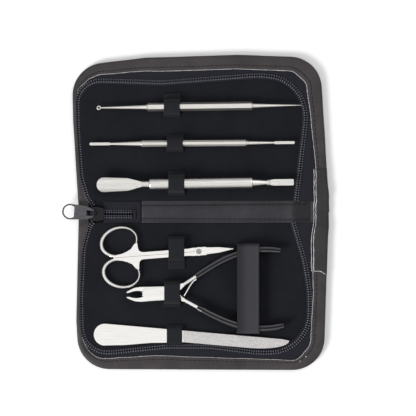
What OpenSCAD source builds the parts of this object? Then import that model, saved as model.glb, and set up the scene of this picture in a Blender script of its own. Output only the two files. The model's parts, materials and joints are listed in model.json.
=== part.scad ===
// Zip-around manicure case, lying open, with six instruments held by elastic loops.
// Origin: middle of the spine's underside. +X along the spine, +Y to the upper half, +Z up.

/* [Case] */
// Width of the case along the spine
case_w = 170; // [160:1:210]
// Depth of each half, from the middle of the spine to its free edge
half_d = 107; // [104:0.2:130]
// Radius of the free corners
corner_r = 22; // [18:1:28]
// Width of the spine between its two fold lines
spine_w = 16; // [16:0.5:24]
// Thickness of the outer leather
leather_t = 1; // [0.8:0.1:1.2]
// Thickness of the stiffening boards
board_t = 1.5; // [1:0.1:2]
// Thickness of the velvet lining where it is held down by the rim
hem_t = 0.9; // [0.6:0.1:1.2]
// How much the padded lining swells inside the zip
pad_swell = 0.6; // [0.5:0.1:0.9]
// Width of the leather turned in over the edge
rim_w = 8.5; // [7:0.5:11]
// The same at the left edge, where the zip lies against the fold of the leather
rim_left = 1.2; // [1.2:0.1:3]

/* [Zip] */
// Thickness of the zip tape
tape_t = 0.4; // [0.3:0.1:0.5]
// Width of one row of zip teeth
coil_w = 2.8; // [2.4:0.02:3.4]
// Height of the teeth above the tape
coil_h = 1; // [0.8:0.1:1.1]
// Distance from tooth to tooth
tooth_pitch = 2.4; // [2:0.1:4]
// Length of the slider body
slider_l = 9.4; // [8:0.2:11]
// Width of the slider body
slider_w = 9.6; // [8.8:0.02:11.6]
// Length of the pull tab from its pivot
pull_l = 21; // [18:0.2:26]
// Width of the pull tab at its ring
pull_w = 10.7; // [10.4:0.1:12]
// From the left end of the case to the joined zip tail
tail_in = 16.8; // [14:0.2:20]
// Length of the joined zip tail, up to its hem
tail_l = 23.4; // [20:0.2:26]
// Middle of the zip tail across the spine
tail_y = -1.6; // [-2:0.2:2]

/* [Spine strip] */
// Space between the zip tail and the padded strip
strip_gap = 2.3; // [1.8:0.1:4]
// Space between the strip and the right-hand end of the case
strip_end = 12.2; // [10:0.2:16]

/* [Elastic] */
// Thickness of the elastic
band_t = 0.8; // [0.5:0.1:1]
// Free space around an instrument inside its loop
loop_gap = 0.3; // [0.2:0.1:0.6]
// Width of the loops
loop_w = 11.6; // [8:0.2:14]
// Width of the band over the nipper handles
wide_w = 15.6; // [10:0.2:20]

/* [Instruments] */
// Length of the probe handle
probe_l = 71.4; // [60:0.2:80]
// Probe handle across its flats
probe_d = 5; // [4:0.1:6]
// Length of the rasp handle
rasp_l = 71.7; // [60:0.2:80]
// Rasp handle across its flats
rasp_d = 4.1; // [3.4:0.1:5]
// Length of the pusher handle
pusher_l = 70.2; // [60:0.2:80]
// Diameter of the pusher handle
pusher_d = 7.6; // [6:0.02:9.2]
// Width of the pusher's spoon
spoon_w = 9.9; // [8:0.1:11]
// Length of the scissor blades from the pivot
blade_l = 23.6; // [18:0.2:24]
// Length from the scissor pivot to the middle of the finger rings
shank_l = 53.4; // [50:0.2:58]
// Thickness of the closed scissors
scissor_t = 2.6; // [2.2:0.1:3]
// Length of the nipper jaws from the pivot
jaw_l = 31; // [26:0.5:34]
// Thickness of the nipper at its box joint
nipper_t = 5.2; // [4.8:0.1:5.4]
// Diameter of the nipper grips
grip_d = 4; // [3.4:0.1:4.4]
// Angle the nipper opens
nipper_open = 4.5; // [3:0.1:5]
// Thickness of the nail file
file_t = 1.2; // [0.8:0.1:1.6]
// Width of the nail file's cutting part
file_w = 7.8; // [6:0.1:9]

/* [Hidden] */

LEATHER = [0.30, 0.28, 0.28];
VELVET = [0.13, 0.13, 0.15];
CARD = [0.45, 0.42, 0.38];
TAPE = [0.16, 0.16, 0.19];
NYLON = [0.24, 0.24, 0.29];
ELASTIC = [0.25, 0.25, 0.27];
GUNMETAL = [0.32, 0.32, 0.35];
STEEL = [0.84, 0.83, 0.82];
VINYL = [0.09, 0.09, 0.10];

UPPER = 1;
LOWER = -1;
half_w = case_w / 2;
fold_y = spine_w / 2;
fold_gap = 0.15;                        // half of the slit along each fold line
board_z = leather_t;
lining_z = leather_t + board_t;
tape_z = lining_z + hem_t;
flap_z = tape_z + tape_t;
lining_top = tape_z + pad_swell;        // the fold axes lie at this height
rim_top = flap_z + 0.9;
fold_clear = 1.5;                       // what stands above the fold axis keeps this far from it
tool_z = flap_z + coil_h + 0.2;         // undersides of the instruments, clear of zip and rim
roll_r = 1.6;                           // rounding of the rolled leather edge
patch_t = 0.5;
tail_x0 = tail_in - half_w;
tail_x1 = tail_x0 + tail_l;
strip_x0 = tail_x1 + strip_gap;

// ---- shared outlines ----------------------------------------------------------------------

// Sides of each soft half from the left end of the spine round to its right end
upper_edge = [[-half_w, 0], [-half_w - 3.9, half_d * 0.58], [-half_w - 4.7, half_d - 8.4],
              [-half_w * 0.47, half_d - 2.5], [half_w * 0.26, half_d - 0.5],
              [half_w - 6.2, half_d - 2.4], [half_w, 0]];
lower_edge = [[-half_w, 0], [-half_w - 1.7, -74], [-half_w + 0.2, 0.2 - half_d],
              [half_w - 3.8, -half_d - 0.6], [half_w - 0.4, 0]];

function at_y(a, b, y) = a[0] + (b[0] - a[0]) * (y - a[1]) / (b[1] - a[1]);

// Plan outline of one half, carried past the fold so that its corners there stay square
module outline(side, inset = 0) {
    p = side > 0 ? upper_edge : lower_edge;
    last = len(p) - 1;
    past = -side * 2 * corner_r;
    offset(r = corner_r - inset, $fn = 40) offset(delta = -corner_r)
        polygon(concat([[at_y(p[0], p[1], past), past]], [for (i = [1:last - 1]) p[i]],
                       [[at_y(p[last], p[last - 1], past), past]]));
}

// Opening inside the turned-in rim, wider at the left edge
module window(side, inset = rim_w, left = rim_left) {
    hull() {
        outline(side, inset);
        translate([left - inset, 0]) outline(side, inset);
    }
}

// Everything of one half beyond its fold line
module beyond_fold(side, clear = fold_gap, z0 = -1, z1 = 40) {
    y = fold_y + clear;
    translate([-2 * case_w, side > 0 ? y : -y - 2 * half_d, z0])
        cube([4 * case_w, 2 * half_d, z1 - z0]);
}

// ---- zip track ----------------------------------------------------------------------------

function unit(v) = v / norm(v);
function left_of(v) = [-v[1], v[0]];
function cross2(a, b) = a[0] * b[1] - a[1] * b[0];

// Corner points of the zip round each half, from the slider to the far end of the spine
track_y = fold_y + 1.8;
track_left = rim_left + coil_w / 2 - half_w;    // beside the narrow rim at the left edge
track_right = half_w - rim_w - coil_w / 2;      // beside the rim at the right edge
upper_track = [[5.8 - half_w, track_y], [1.6 - half_w, 24], [track_left - 3.3, half_d * 0.52],
               [track_left - 4, half_d - 17.4], [-half_w * 0.33, half_d - 19.3],
               [half_w * 0.42, half_d - 14.4], [track_right - 5.5, half_d - 17],
               [track_right - 6.2, 60], [half_w - 22.1, track_y]];
lower_track = [[7.6 - half_w, -track_y], [3.4 - half_w, -24], [track_left - 1.2, -60],
               [track_left, 11.4 - half_d], [-half_w * 0.73, 11.6 - half_d],
               [-half_w * 0.29, 17 - half_d - coil_w / 2], [half_w * 0.05, 16.8 - half_d - coil_w / 2],
               [half_w * 0.42, 11.4 - half_d], [track_right - 3.5, 11.5 - half_d],
               [track_right - 3.2, -55], [half_w - 16.7, -33], [half_w - 23.6, -track_y]];
upper_bend = [30, 40, 16, 60, 60, 27, 50];      // bending radius at each inner point
lower_bend = [30, 40, 17, 60, 80, 80, 60, 27, 50, 50];
tight_bend = 28;                                // corners under this radius take more steps

// Arc that rounds corner i of a track
function bend(p, i, r, steps) =
    let (a = unit(p[i] - p[i - 1]), b = unit(p[i + 1] - p[i]),
         turn = turn_angle(a, b), s = sign(turn),
         start = p[i] - a * r * tan(abs(turn) / 2),
         centre = start + left_of(a) * s * r)
    [for (k = [0:steps]) let (w = turn * k / steps)
        centre - s * r * [-a[1] * cos(w) - a[0] * sin(w), a[0] * cos(w) - a[1] * sin(w)]];
function turn_angle(a, b) = atan2(cross2(a, b), a * b);

function track_points(side) =
    let (p = side > 0 ? upper_track : lower_track, r = side > 0 ? upper_bend : lower_bend)
    concat([p[0]], [for (i = [1:len(p) - 2]) each bend(p, i, r[i - 1], r[i - 1] < tight_bend ? 8 : 3)],
           [p[len(p) - 1]]);

// Distance walked along a line of points, up to each of them
function walked(p) = [for (i = 0, s = 0; i < len(p);
    s = s + (i < len(p) - 1 ? norm(p[i + 1] - p[i]) : 0), i = i + 1) s];
function leg_at(w, s) = max([for (j = [0:len(w) - 2]) w[j] <= s ? j : 0]);

// Point at distance s along a line of points, moved sideways to its left
function along(p, w, s, side_step = 0) =
    let (j = leg_at(w, s), d = unit(p[j + 1] - p[j]))
    p[j] + d * (s - w[j]) + left_of(d) * side_step;

// Area inside a track, carried past the fold
module inside_track(side, grow) {
    p = track_points(side);
    past = -side * 30;
    offset(delta = grow)
        polygon(concat([[p[0][0], past]], p, [[p[len(p) - 1][0], past]]));
}

// One row of teeth: a rib with a tooth at every pitch on its inner side
module teeth_row(p, inner, width = coil_w) {
    w = walked(p);
    count = floor((w[len(w) - 1] - 0.2) / tooth_pitch);
    rib = -inner * width / 2;
    root = inner * width * 0.05;
    tip = inner * width / 2;
    half_tooth = tooth_pitch * 0.29;
    polygon(concat(
        [for (i = [0:count - 1]) let (s = (i + 0.5) * tooth_pitch)
            each [along(p, w, s - half_tooth, root), along(p, w, s - half_tooth, tip),
                  along(p, w, s + half_tooth, tip), along(p, w, s + half_tooth, root)]],
        [for (i = [count - 1:-1:0]) along(p, w, (i + 0.5) * tooth_pitch, rib)]));
}

// ---- case halves --------------------------------------------------------------------------

// Thin layers, [height, inset], that roll an edge round above and below its straight middle
layer_t = 0.02;
function rolled(top) = [for (a = [0:30:60]) each [
    [roll_r * (1 - cos(a)), roll_r * (1 - sin(a))],
    [top - roll_r * (1 - cos(a)) - layer_t, roll_r * (1 - sin(a))]]];

module half_cover(side) {
    color(LEATHER) difference() {
        intersection() {
            hull() {
                for (l = rolled(rim_top))
                    translate([0, 0, l[0]]) linear_extrude(layer_t) outline(side, l[1]);
                translate([0, 0, roll_r]) linear_extrude(rim_top - 2 * roll_r) outline(side);
            }
            beyond_fold(side);
        }
        translate([0, 0, board_z]) linear_extrude(flap_z - board_z) outline(side, leather_t);
        translate([0, 0, board_z]) linear_extrude(9) window(side);
        difference() {
            beyond_fold(side, -1, lining_top);
            beyond_fold(side, fold_clear, lining_top - 1);
        }
    }
}

module half_board(side) {
    color(CARD) intersection() {
        translate([0, 0, board_z]) linear_extrude(board_t) outline(side, leather_t + 0.2);
        beyond_fold(side);
    }
}

module half_lining(side) {
    color(VELVET) intersection() {
        union() {
            translate([0, 0, lining_z]) linear_extrude(hem_t) outline(side, leather_t + 0.2);
            translate([0, 0, lining_z]) linear_extrude(lining_top - lining_z)
                inside_track(side, -coil_w / 2 - 1.2);
        }
        beyond_fold(side);
    }
}

module half_tape(side) {
    color(TAPE) intersection() {
        translate([0, 0, tape_z]) linear_extrude(tape_t) difference() {
            window(side, rim_w - 4, leather_t + 0.2);
            inside_track(side, -coil_w / 2 - 1);
        }
        beyond_fold(side);
    }
}

module half_teeth(side) {
    color(NYLON) translate([0, 0, flap_z]) linear_extrude(coil_h)
        teeth_row(track_points(side), -side);
}

// Leather that wraps the right-hand edge on both sides of the spine
module half_patch(side) {
    reach = side > 0 ? 29.7 : 43;
    color(LEATHER) intersection() {
        translate([0, 0, rim_top]) linear_extrude(patch_t) outline(side, roll_r - 0.2);
        beyond_fold(side, fold_clear + 0.5);
        translate([half_w - strip_end + 0.4, side > 0 ? 0 : -reach, 0]) cube([40, reach, 40]);
    }
}

// ---- spine --------------------------------------------------------------------------------

spine_in = fold_y - fold_gap;
slot_y = slider_w / 2 + 0.7;            // half width of the hollow that the slider runs in
slot_floor = 1.2;                       // depth of that hollow below the tape

module spine_cover() {
    color(LEATHER) difference() {
        intersection() {
            hull() {
                for (l = rolled(lining_top + roll_r - 1))
                    translate([l[1] - half_w, -fold_y, l[0]])
                        cube([case_w - 2 * l[1], 2 * fold_y, layer_t]);
                translate([-half_w, -fold_y, roll_r])
                    cube([case_w, 2 * fold_y, lining_top - roll_r - 1]);
            }
            translate([-case_w, -spine_in, -1]) cube([2 * case_w, 2 * spine_in, lining_top + 0.8]);
        }
        translate([leather_t - half_w, -fold_y, board_z])
            cube([case_w - 2 * leather_t, 2 * fold_y, 9]);
    }
}

module spine_board() {
    inner = leather_t + 0.2;
    color(CARD) difference() {
        translate([inner - half_w, -spine_in, board_z])
            cube([case_w - 2 * inner, 2 * spine_in, tape_z - board_z]);
        translate([tail_x0 - slider_l - 1.2, tail_y - slot_y, tape_z - slot_floor])
            cube([tail_x1 - tail_x0 + slider_l, 2 * slot_y, 4]);
    }
}

// Crowned section of the padded leather over the spine
module crown(half, edge, rise, steps = 10) {
    polygon(concat([[-half, 0]],
        [for (i = [-steps:steps]) [half * i / steps, edge + rise * (1 - pow(i / steps, 2))]],
        [[half, 0]]));
}

module along_x(x0, x1) {
    translate([x0, 0, 0]) rotate([90, 0, 90]) linear_extrude(x1 - x0) children();
}

module spine_strip() {
    color(LEATHER) translate([0, 0, tape_z])
        along_x(strip_x0, half_w - strip_end) crown(fold_y - 0.5, 0.3, rim_top - tape_z - 0.3);
}

module spine_end_patch() {
    color(LEATHER) translate([0, 0, tape_z])
        along_x(half_w - strip_end + 0.1, half_w - leather_t - 0.2)
            crown(fold_y - 0.8, 0.5, rim_top - tape_z - 0.3);
}

tail_slot = 0.75;                       // half of the gap that the slider's post runs in
tail_row = 2.1;                         // width of each row where the two lie joined
run_gap = 0.3;                          // clearance of the slider on tape and teeth

module tail_tape() {
    color(TAPE) difference() {
        translate([tail_x0, -spine_in + 0.4, tape_z])
            cube([tail_x1 - tail_x0, 2 * spine_in - 1.2, tape_t]);
        translate([tail_x0 - 1, tail_y - tail_slot, 0]) cube([tail_x1 - tail_x0 - 2, 2 * tail_slot, 9]);
    }
}

module tail_teeth() {
    color(NYLON) translate([0, 0, flap_z]) linear_extrude(coil_h) for (s = [-1, 1])
        teeth_row([for (x = [tail_x0, tail_x1 - 3.4]) [x, tail_y + s * (tail_slot + tail_row / 2)]],
                  -s, tail_row);
}

module tail_stop() {
    color(GUNMETAL) translate([tail_x1 - 3.2, tail_y - 3.1, flap_z]) cube([1.8, 6.2, coil_h]);
}

module tail_hem() {
    color(TAPE) translate([tail_x1 - 1.2, -spine_in + 0.6, flap_z])
        cube([strip_x0 - tail_x1 + 0.9, 2 * spine_in - 1.6, 0.5]);
}

// ---- slider and pull ----------------------------------------------------------------------

wing_z = flap_z + coil_h + run_gap;     // underside of the slider's upper wing
wing_t = 0.8;
pull_x = tail_x0 - slider_l + 2.5;      // pivot of the pull, over the slider's mouth
pull_y = -1.2;
pull_z = wing_z + wing_t + 1.25;
pull_turn = -4.7;                       // the pull lies a little askew
pull_t = 1.2;
pull_hole = 8.6;
bridge_r = 2.2;

// Plan of a slider wing: wide shoulders at the mouth, narrower where the joined teeth leave
module wing_plan(grow = 0) {
    offset(r = 1 + grow, $fn = 24) offset(delta = -1)
        polygon([[-slider_l / 2, -slider_w / 2], [-slider_l / 2, slider_w / 2],
                 [0, slider_w / 2], [slider_l / 2, slider_w * 0.4],
                 [slider_l / 2, -slider_w * 0.4], [0, -slider_w / 2]]);
}

module zip_slider() {
    cx = tail_x0 - slider_l / 2 + 0.2;
    flange_z = flap_z + run_gap;
    channel = tail_slot + tail_row + run_gap;
    post = tail_slot - run_gap;
    color(GUNMETAL) translate([cx, tail_y, 0]) {
        // lower wing, under the tape
        translate([0, 0, tape_z - 0.9]) linear_extrude(0.6) wing_plan();
        // upper wing with side flanges down to the tape
        difference() {
            translate([0, 0, flange_z]) linear_extrude(wing_z + wing_t - flange_z) wing_plan();
            translate([-slider_l, -channel, flange_z - 1])
                cube([2 * slider_l, 2 * channel, wing_z - flange_z + 1]);
        }
        // post that parts the two rows
        translate([-slider_l / 2 + 0.3, -post, tape_z - 0.5]) cube([2.6, 2 * post, wing_z - tape_z + 1]);
    }
    // bridge that holds the pull
    color(GUNMETAL) translate([pull_x, pull_y, wing_z + wing_t - 0.2]) difference() {
        rotate([90, 0, 0]) linear_extrude(2, center = true) hull() {
            translate([-bridge_r, 0]) square([2 * bridge_r, 0.5]);
            translate([-bridge_r + 1, 1.6]) circle(1, $fn = 24);
            translate([bridge_r - 1, 1.6]) circle(1, $fn = 24);
        }
        translate([0, 0, 0.2]) rotate([90, 0, 0]) linear_extrude(4, center = true) hull() {
            translate([-1.2, 0.4]) square([2.4, 0.2]);
            translate([-0.5, 1.25]) circle(0.65, $fn = 24);
            translate([0.5, 1.25]) circle(0.65, $fn = 24);
        }
    }
}

module pull_plan() {
    ring_x = -pull_l + pull_w / 2;
    difference() {
        hull() {
            translate([ring_x, 0]) circle(d = pull_w, $fn = 48);
            translate([-5.4, -4.5]) square([1, 9]);
        }
        // D-shaped hole, flat towards the slider
        translate([ring_x, 0]) intersection() {
            circle(d = pull_hole, $fn = 48);
            translate([-pull_hole, -pull_hole]) square([pull_hole + 2.8, 2 * pull_hole]);
        }
    }
    // fishtail prongs either side of the bridge
    for (s = [-1, 1]) hull() {
        translate([-5.6, s * 3.2 - 1.3]) square([1, 2.6]);
        translate([-0.3, s * 2.2]) square([0.6, 1], center = true);
    }
}

module zip_pull() {
    color(GUNMETAL) translate([pull_x, pull_y, pull_z]) rotate(pull_turn) {
        translate([0, 0, -pull_t / 2]) linear_extrude(pull_t) difference() {
            pull_plan();
            polygon([[-4.3, 0], [-2.9, -1.6], [0.3, -1.6], [0.3, 1.6], [-2.9, 1.6]]);
        }
        rotate([90, 0, 0]) cylinder(h = 5.4, r = 0.5, center = true, $fn = 32);
    }
}

// ---- elastic ------------------------------------------------------------------------------

// Closed band round an instrument: span is the room it needs, flange what is sewn down beyond
// either wall, and children the instrument's section, [y, z]
module band(x, width, span, flange) {
    y0 = span[0] - loop_gap - band_t - flange[0];
    y1 = span[1] + loop_gap + band_t + flange[1];
    color(ELASTIC) along_x(x - width / 2, x + width / 2) difference() {
        intersection() {
            hull() {
                translate([y0, lining_top]) square([y1 - y0, band_t - 0.1]);
                offset(r = loop_gap + band_t, $fn = 32) children();
            }
            translate([-200, lining_top]) square([400, 60]);
        }
        hull() {
            translate([y0 + 2.4, lining_top + band_t - 0.1]) square([y1 - y0 - 4.8, 0.05]);
            offset(r = loop_gap, $fn = 32) intersection() {
                children();
                translate([-200, tool_z - 0.01]) square([400, 40]);
            }
        }
    }
}

module section_box(span, top) {
    translate([span[0], tool_z]) square([span[1] - span[0], top - tool_z]);
}

// ---- round instruments --------------------------------------------------------------------

module place(at, turn, z) { translate([at[0], at[1], z]) rotate(turn) children(); }
module lathe_x() { rotate([0, 90, 0]) rotate_extrude($fn = 48) children(); }

probe_at = [-2.9, 71.2];
probe_turn = 0.75;
probe_z = tool_z + probe_d / 2;
rasp_at = [-7, 46.3];
rasp_turn = 0.4;
rasp_z = tool_z + rasp_d / 2;
pusher_at = [-2.1, 19.1];
pusher_turn = 0.8;
pusher_z = tool_z + pusher_d / 2;

// Faceted rod with turned ends
module rod(l, flats, sides) {
    r = flats / 2 / cos(180 / sides);
    intersection() {
        rotate([0, 90, 0]) rotate(180 / sides)
            cylinder(h = l, r = r, center = true, $fn = sides);
        lathe_x() polygon([[0, -l / 2], [flats * 0.43, -l / 2], [r + 0.1, -l / 2 + 0.9],
                           [r + 0.1, l / 2 - 0.9], [flats * 0.43, l / 2], [0, l / 2]]);
    }
}

// Shoulder of a probe's neck, where it leaves the handle
probe_neck = [[0, 0], [1.65, 0], [1.65, 1], [1.5, 1.3]];

module probe_handle() {
    color(STEEL) place(probe_at, probe_turn, probe_z) rod(probe_l, probe_d, 6);
}

module probe_needle() {
    color(STEEL) place(probe_at, probe_turn, probe_z) translate([probe_l / 2, 0, 0]) lathe_x()
        polygon(concat(probe_neck, [[0.12, 33.2], [0, 33.3]]));
}

module probe_ring_tip() {
    color(STEEL) place(probe_at, probe_turn, probe_z) mirror([1, 0, 0])
        translate([probe_l / 2, 0, 0]) {
            lathe_x() polygon(concat(probe_neck, [[0.42, 31.8], [0, 31.8]]));
            translate([32.6, 0, 0]) rotate_extrude($fn = 40) translate([1.1, 0]) circle(0.42, $fn = 24);
        }
}

module rasp_handle() {
    color(STEEL) place(rasp_at, rasp_turn, rasp_z) rod(rasp_l, rasp_d, 8);
}

// Tapered neck with a flat rasp, toothed along both edges: root is its profile at the handle
module rasp_tip(neck, blade, root) {
    teeth = floor(blade / 1);
    lathe_x() polygon(concat([[0, 0]], root, [[0.75, neck], [0, neck]]));
    translate([neck - 0.6, 0, -0.55]) linear_extrude(1.1) polygon(concat(
        [for (i = [0:teeth - 1]) each [[i, 0.82], [i + 0.7, 1.02]]],
        [[teeth + 0.4, 0.7], [teeth + 0.9, 0], [teeth + 0.4, -0.7]],
        [for (i = [teeth - 1:-1:0]) each [[i + 0.7, -1.02], [i, -0.82]]]));
}

module rasp_left_tip() {
    color(STEEL) place(rasp_at, rasp_turn, rasp_z) mirror([1, 0, 0])
        translate([rasp_l / 2, 0, 0]) rasp_tip(21.5, 13, [[rasp_d * 0.43, 0]]);
}

module rasp_right_tip() {
    color(STEEL) place(rasp_at, rasp_turn, rasp_z)
        translate([rasp_l / 2, 0, 0]) rasp_tip(19.4, 13, [[1.5, 0], [1.5, 1], [1.3, 1.3]]);
}

module pusher_handle() {
    r = pusher_d / 2;
    l = pusher_l / 2;
    color(STEEL) place(pusher_at, pusher_turn, pusher_z) lathe_x()
        polygon([[0, -l], [r - 0.9, -l], [r - 0.2, -l + 0.4], [r, -l + 1.2],
                 [r, l - 1.2], [r - 0.2, l - 0.4], [r - 0.9, l], [0, l]]);
}

spoon_l = 29.4;
spoon_r = 9;                            // radius of the spoon's gutter
neck_l = 6;

module pusher_spoon() {
    sag = spoon_r - sqrt(pow(spoon_r, 2) - pow(spoon_w / 2, 2));
    color(STEEL) place(pusher_at, pusher_turn, pusher_z) mirror([1, 0, 0])
        translate([pusher_l / 2, 0, 0]) {
            lathe_x() polygon([[0, 0], [2.3, 0], [2.3, 4.4], [1.7, neck_l + 1.6], [0, neck_l + 1.6]]);
            // a gutter cut to the outline of the spoon
            intersection() {
                translate([neck_l, 0, -3]) linear_extrude(6) hull() {
                    circle(1.9, $fn = 32);
                    translate([9, 0]) circle(spoon_w * 0.43, $fn = 40);
                    translate([spoon_l - spoon_w / 2, 0]) circle(d = spoon_w, $fn = 48);
                }
                translate([neck_l - 3, 0, sag / 2 + spoon_r - 1.4]) rotate([0, 90, 0]) difference() {
                    cylinder(h = spoon_l + 6, r = spoon_r, $fn = 72);
                    translate([0, 0, 5.5]) cylinder(h = spoon_l + 6, r = spoon_r - 0.9, $fn = 72);
                }
            }
        }
}

module pusher_blade() {
    color(STEEL) place(pusher_at, pusher_turn, pusher_z) translate([pusher_l / 2, 0, 0]) {
        lathe_x() polygon([[0, 0], [2.55, 0], [1.55, 9.3], [2.15, 9.5], [2.15, 11.4],
                           [1.9, 11.8], [0, 11.8]]);
        // flat blade thinning to its edge
        intersection() {
            translate([11.4, 0, -2]) linear_extrude(4) hull() {
                translate([0, -1.6]) square([0.1, 3.2]);
                translate([3, -2.1]) square([12.8, 4.2]);
                translate([3, -1.6]) square([13.3, 3.2]);
            }
            rotate([90, 0, 0]) linear_extrude(6, center = true)
                polygon([[11, -1.3], [16, -0.75], [27.8, -0.18], [27.8, 0.18], [16, 0.75], [11, 1.3]]);
        }
    }
}

// ---- scissors -----------------------------------------------------------------------------

scissor_at = [-3.5, -26.9];
scissor_turn = 4.4;
scissor_open = 20;                      // as far as the scissors open inside their loop
scissor_z = tool_z + scissor_t / 2;
layer = scissor_t / 2 - 0.05;           // each blade, with a 0.1 slit between the two
boss_r = 2.9;
shank_w = 2.35;                         // width of one shank, from the parting line
ring_a = 12;                            // half length and half width of a finger ring
ring_b = 9.6;
ring_lean = 1.6;                        // how far the ring leans towards the blades
ring_bar = 0.95;                        // half thickness of its bar, thicker at the far end
screw_r = 1;
screw_head = 0.2;

// Closed tube of elliptical section round a leaning oval
module finger_ring(steps = 36, sides = 10) {
    function oval(t) = [ring_a * cos(t) + ring_lean * sin(t), ring_b * sin(t)];
    function out(t) = unit([ring_b * cos(t), ring_a * sin(t) - ring_lean * cos(t)]);
    points = [for (i = [0:steps - 1]) let (t = i * 360 / steps) for (j = [0:sides - 1])
        let (a = j * 360 / sides, q = oval(t) + out(t) * (ring_bar - 0.2 * cos(t)) * cos(a))
        [q[0], q[1], (scissor_t / 2) * sin(a)]];
    polyhedron(points, [for (i = [0:steps - 1]) for (j = [0:sides - 1])
        let (k = (i + 1) % steps, m = (j + 1) % sides)
        each [[i * sides + j, i * sides + m, k * sides + m], [i * sides + j, k * sides + m, k * sides + j]]],
        convexity = 6);
}

// One half, shank on the +y side, blade in the lower layer and crossing to -y
module scissor_half() {
    ring_y = ring_b + ring_bar + 0.1;
    difference() {
        union() {
            translate([0, 0, -scissor_t / 2]) linear_extrude(layer) {
                circle(boss_r, $fn = 48);
                polygon([[-1, 2.7], [-1, -2.75], [4.9, -2.75], [5.2, -2.3], [blade_l * 0.6, -1.75],
                         [blade_l * 0.88, -0.6], [blade_l, 0.25], [blade_l * 0.8, 0.5],
                         [5.2, 1.35], [4.9, 2.6]]);
            }
            // shank, and the web that spreads into the ring
            translate([0, 0, -scissor_t / 2]) linear_extrude(scissor_t) {
                polygon([[-1.5, 0.1], [-1.5, 2.7], [-4, 2.7], [-7, shank_w],
                         [16 - shank_l, shank_w], [16 - shank_l, 0.1]]);
                translate([-shank_l, 0])
                    polygon([[16.2, 0.1], [16.2, shank_w], [14.4, 2.6], [13.1, 3.6], [12.5, 5.2],
                             [12.2, 9], [10.2, 8.4], [7.8, 5.2], [4.9, 3.6], [1.5, 2.4],
                             [-2.6, 1.7], [-4.6, 1], [-4.6, 0.1]]);
            }
            translate([-shank_l, ring_y, 0]) finger_ring();
        }
        // room for the other half's boss
        translate([0, 0, -0.05]) cylinder(h = 4, r = boss_r + 0.3, $fn = 48);
        translate([0, 0, -4]) cylinder(h = 8, r = screw_r + 0.15, $fn = 32);
    }
}

module scissors_moving_half() {
    color(STEEL) place(scissor_at, scissor_turn, scissor_z) scissor_half();
}

module scissors_fixed_half() {
    color(STEEL) place(scissor_at, scissor_turn, scissor_z) rotate([180, 0, 0]) scissor_half();
}

module scissors_screw() {
    color(STEEL) place(scissor_at, scissor_turn, scissor_z) difference() {
        rotate_extrude($fn = 40) polygon([[0, -scissor_t / 2 + 0.05], [screw_r, -scissor_t / 2 + 0.05],
            [screw_r, scissor_t / 2], [1.9, scissor_t / 2], [1.8, scissor_t / 2 + 0.12],
            [0, scissor_t / 2 + screw_head]]);
        translate([-screw_r, -0.22, scissor_t / 2 - 0.3]) cube([2 * screw_r, 0.44, 1]);
    }
}

// ---- nipper -------------------------------------------------------------------------------

nipper_at = [-21.4, -54.9];
nipper_turn = 2.6;
nipper_z = tool_z + nipper_t / 2;
cheek = nipper_t / 2 - 0.05;
rivet_r = 1.6;
arm_w = 2.5;
arm_t = 2.8;
grip_z = scissor_t / 2 + 0.3 + grip_d / 2 + tool_z - nipper_z;   // grips clear an opened scissor blade

// Middle line of an open handle, from the box to its end
handle_line = [[5, 3.6], [28, 17], [46, 31.6], [76, 25]];
arm_end = 0.95;                         // where along it the arm ends inside the grip, and the grip
grip_end = 0.98;
grip_w = grip_d * 1.2;                  // width of a grip in plan
function bezier(p, t) = p[0] * pow(1 - t, 3) + p[1] * 3 * t * pow(1 - t, 2)
    + p[2] * 3 * t * t * (1 - t) + p[3] * pow(t, 3);
function heading(p, t) = unit(bezier(p, t + 0.01) - bezier(p, t - 0.01));
grip_from = 0.17;

// Tube of rounded section along the handle line between two shares of its length
module handle_tube(t0, t1, w, h, rings = 14, sides = 12, blunt = 0) {
    points = [for (i = [0:rings]) let (t = t0 + (t1 - t0) * i / rings, c = bezier(handle_line, t),
              n = left_of(heading(handle_line, t)),
              k = blunt > 0 && (i == 0 || i == rings) ? blunt : 1)
        for (j = [0:sides - 1]) let (a = (j + 0.5) * 360 / sides)
        [c[0] + n[0] * w / 2 * k * cos(a), c[1] + n[1] * w / 2 * k * cos(a), h / 2 * k * sin(a)]];
    faces = concat([[for (j = [0:sides - 1]) j]],
        [for (i = [0:rings - 1]) for (j = [0:sides - 1]) let (m = (j + 1) % sides, a = i * sides)
            each [[a + j, a + sides + j, a + sides + m], [a + j, a + sides + m, a + m]]],
        [[for (j = [sides - 1:-1:0]) rings * sides + j]]);
    polyhedron(points, faces, convexity = 4);
}

// Claw-shaped jaw beyond the box, on the +y side of the parting line
module jaw_plan() {
    polygon([[-15, 0.15], [-17.8, 0.15], [-19.6, 0.9], [-22, 1.5], [-24.6, 1.55], [-27, 1.1],
             [-jaw_l + 1.6, 0.3], [-jaw_l, 0.12], [-jaw_l + 0.2, 0.9], [-28.4, 2.2],
             [-25.5, 3.5], [-22, 4.1], [-18, 4.15], [-15, 4.1]]);
}

// Cheek of the box joint, cut off on a slant where it passes under the other jaw
module cheek_plan(grow = 0) {
    offset(delta = grow) hull() {
        circle(4.4, $fn = 48);
        polygon([[-1, 4.4], [-15.4, 4.1], [-20.6, 0.2], [-18.2, -3.6], [-12, -4.2], [-1, -4.4]]);
    }
}

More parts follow.
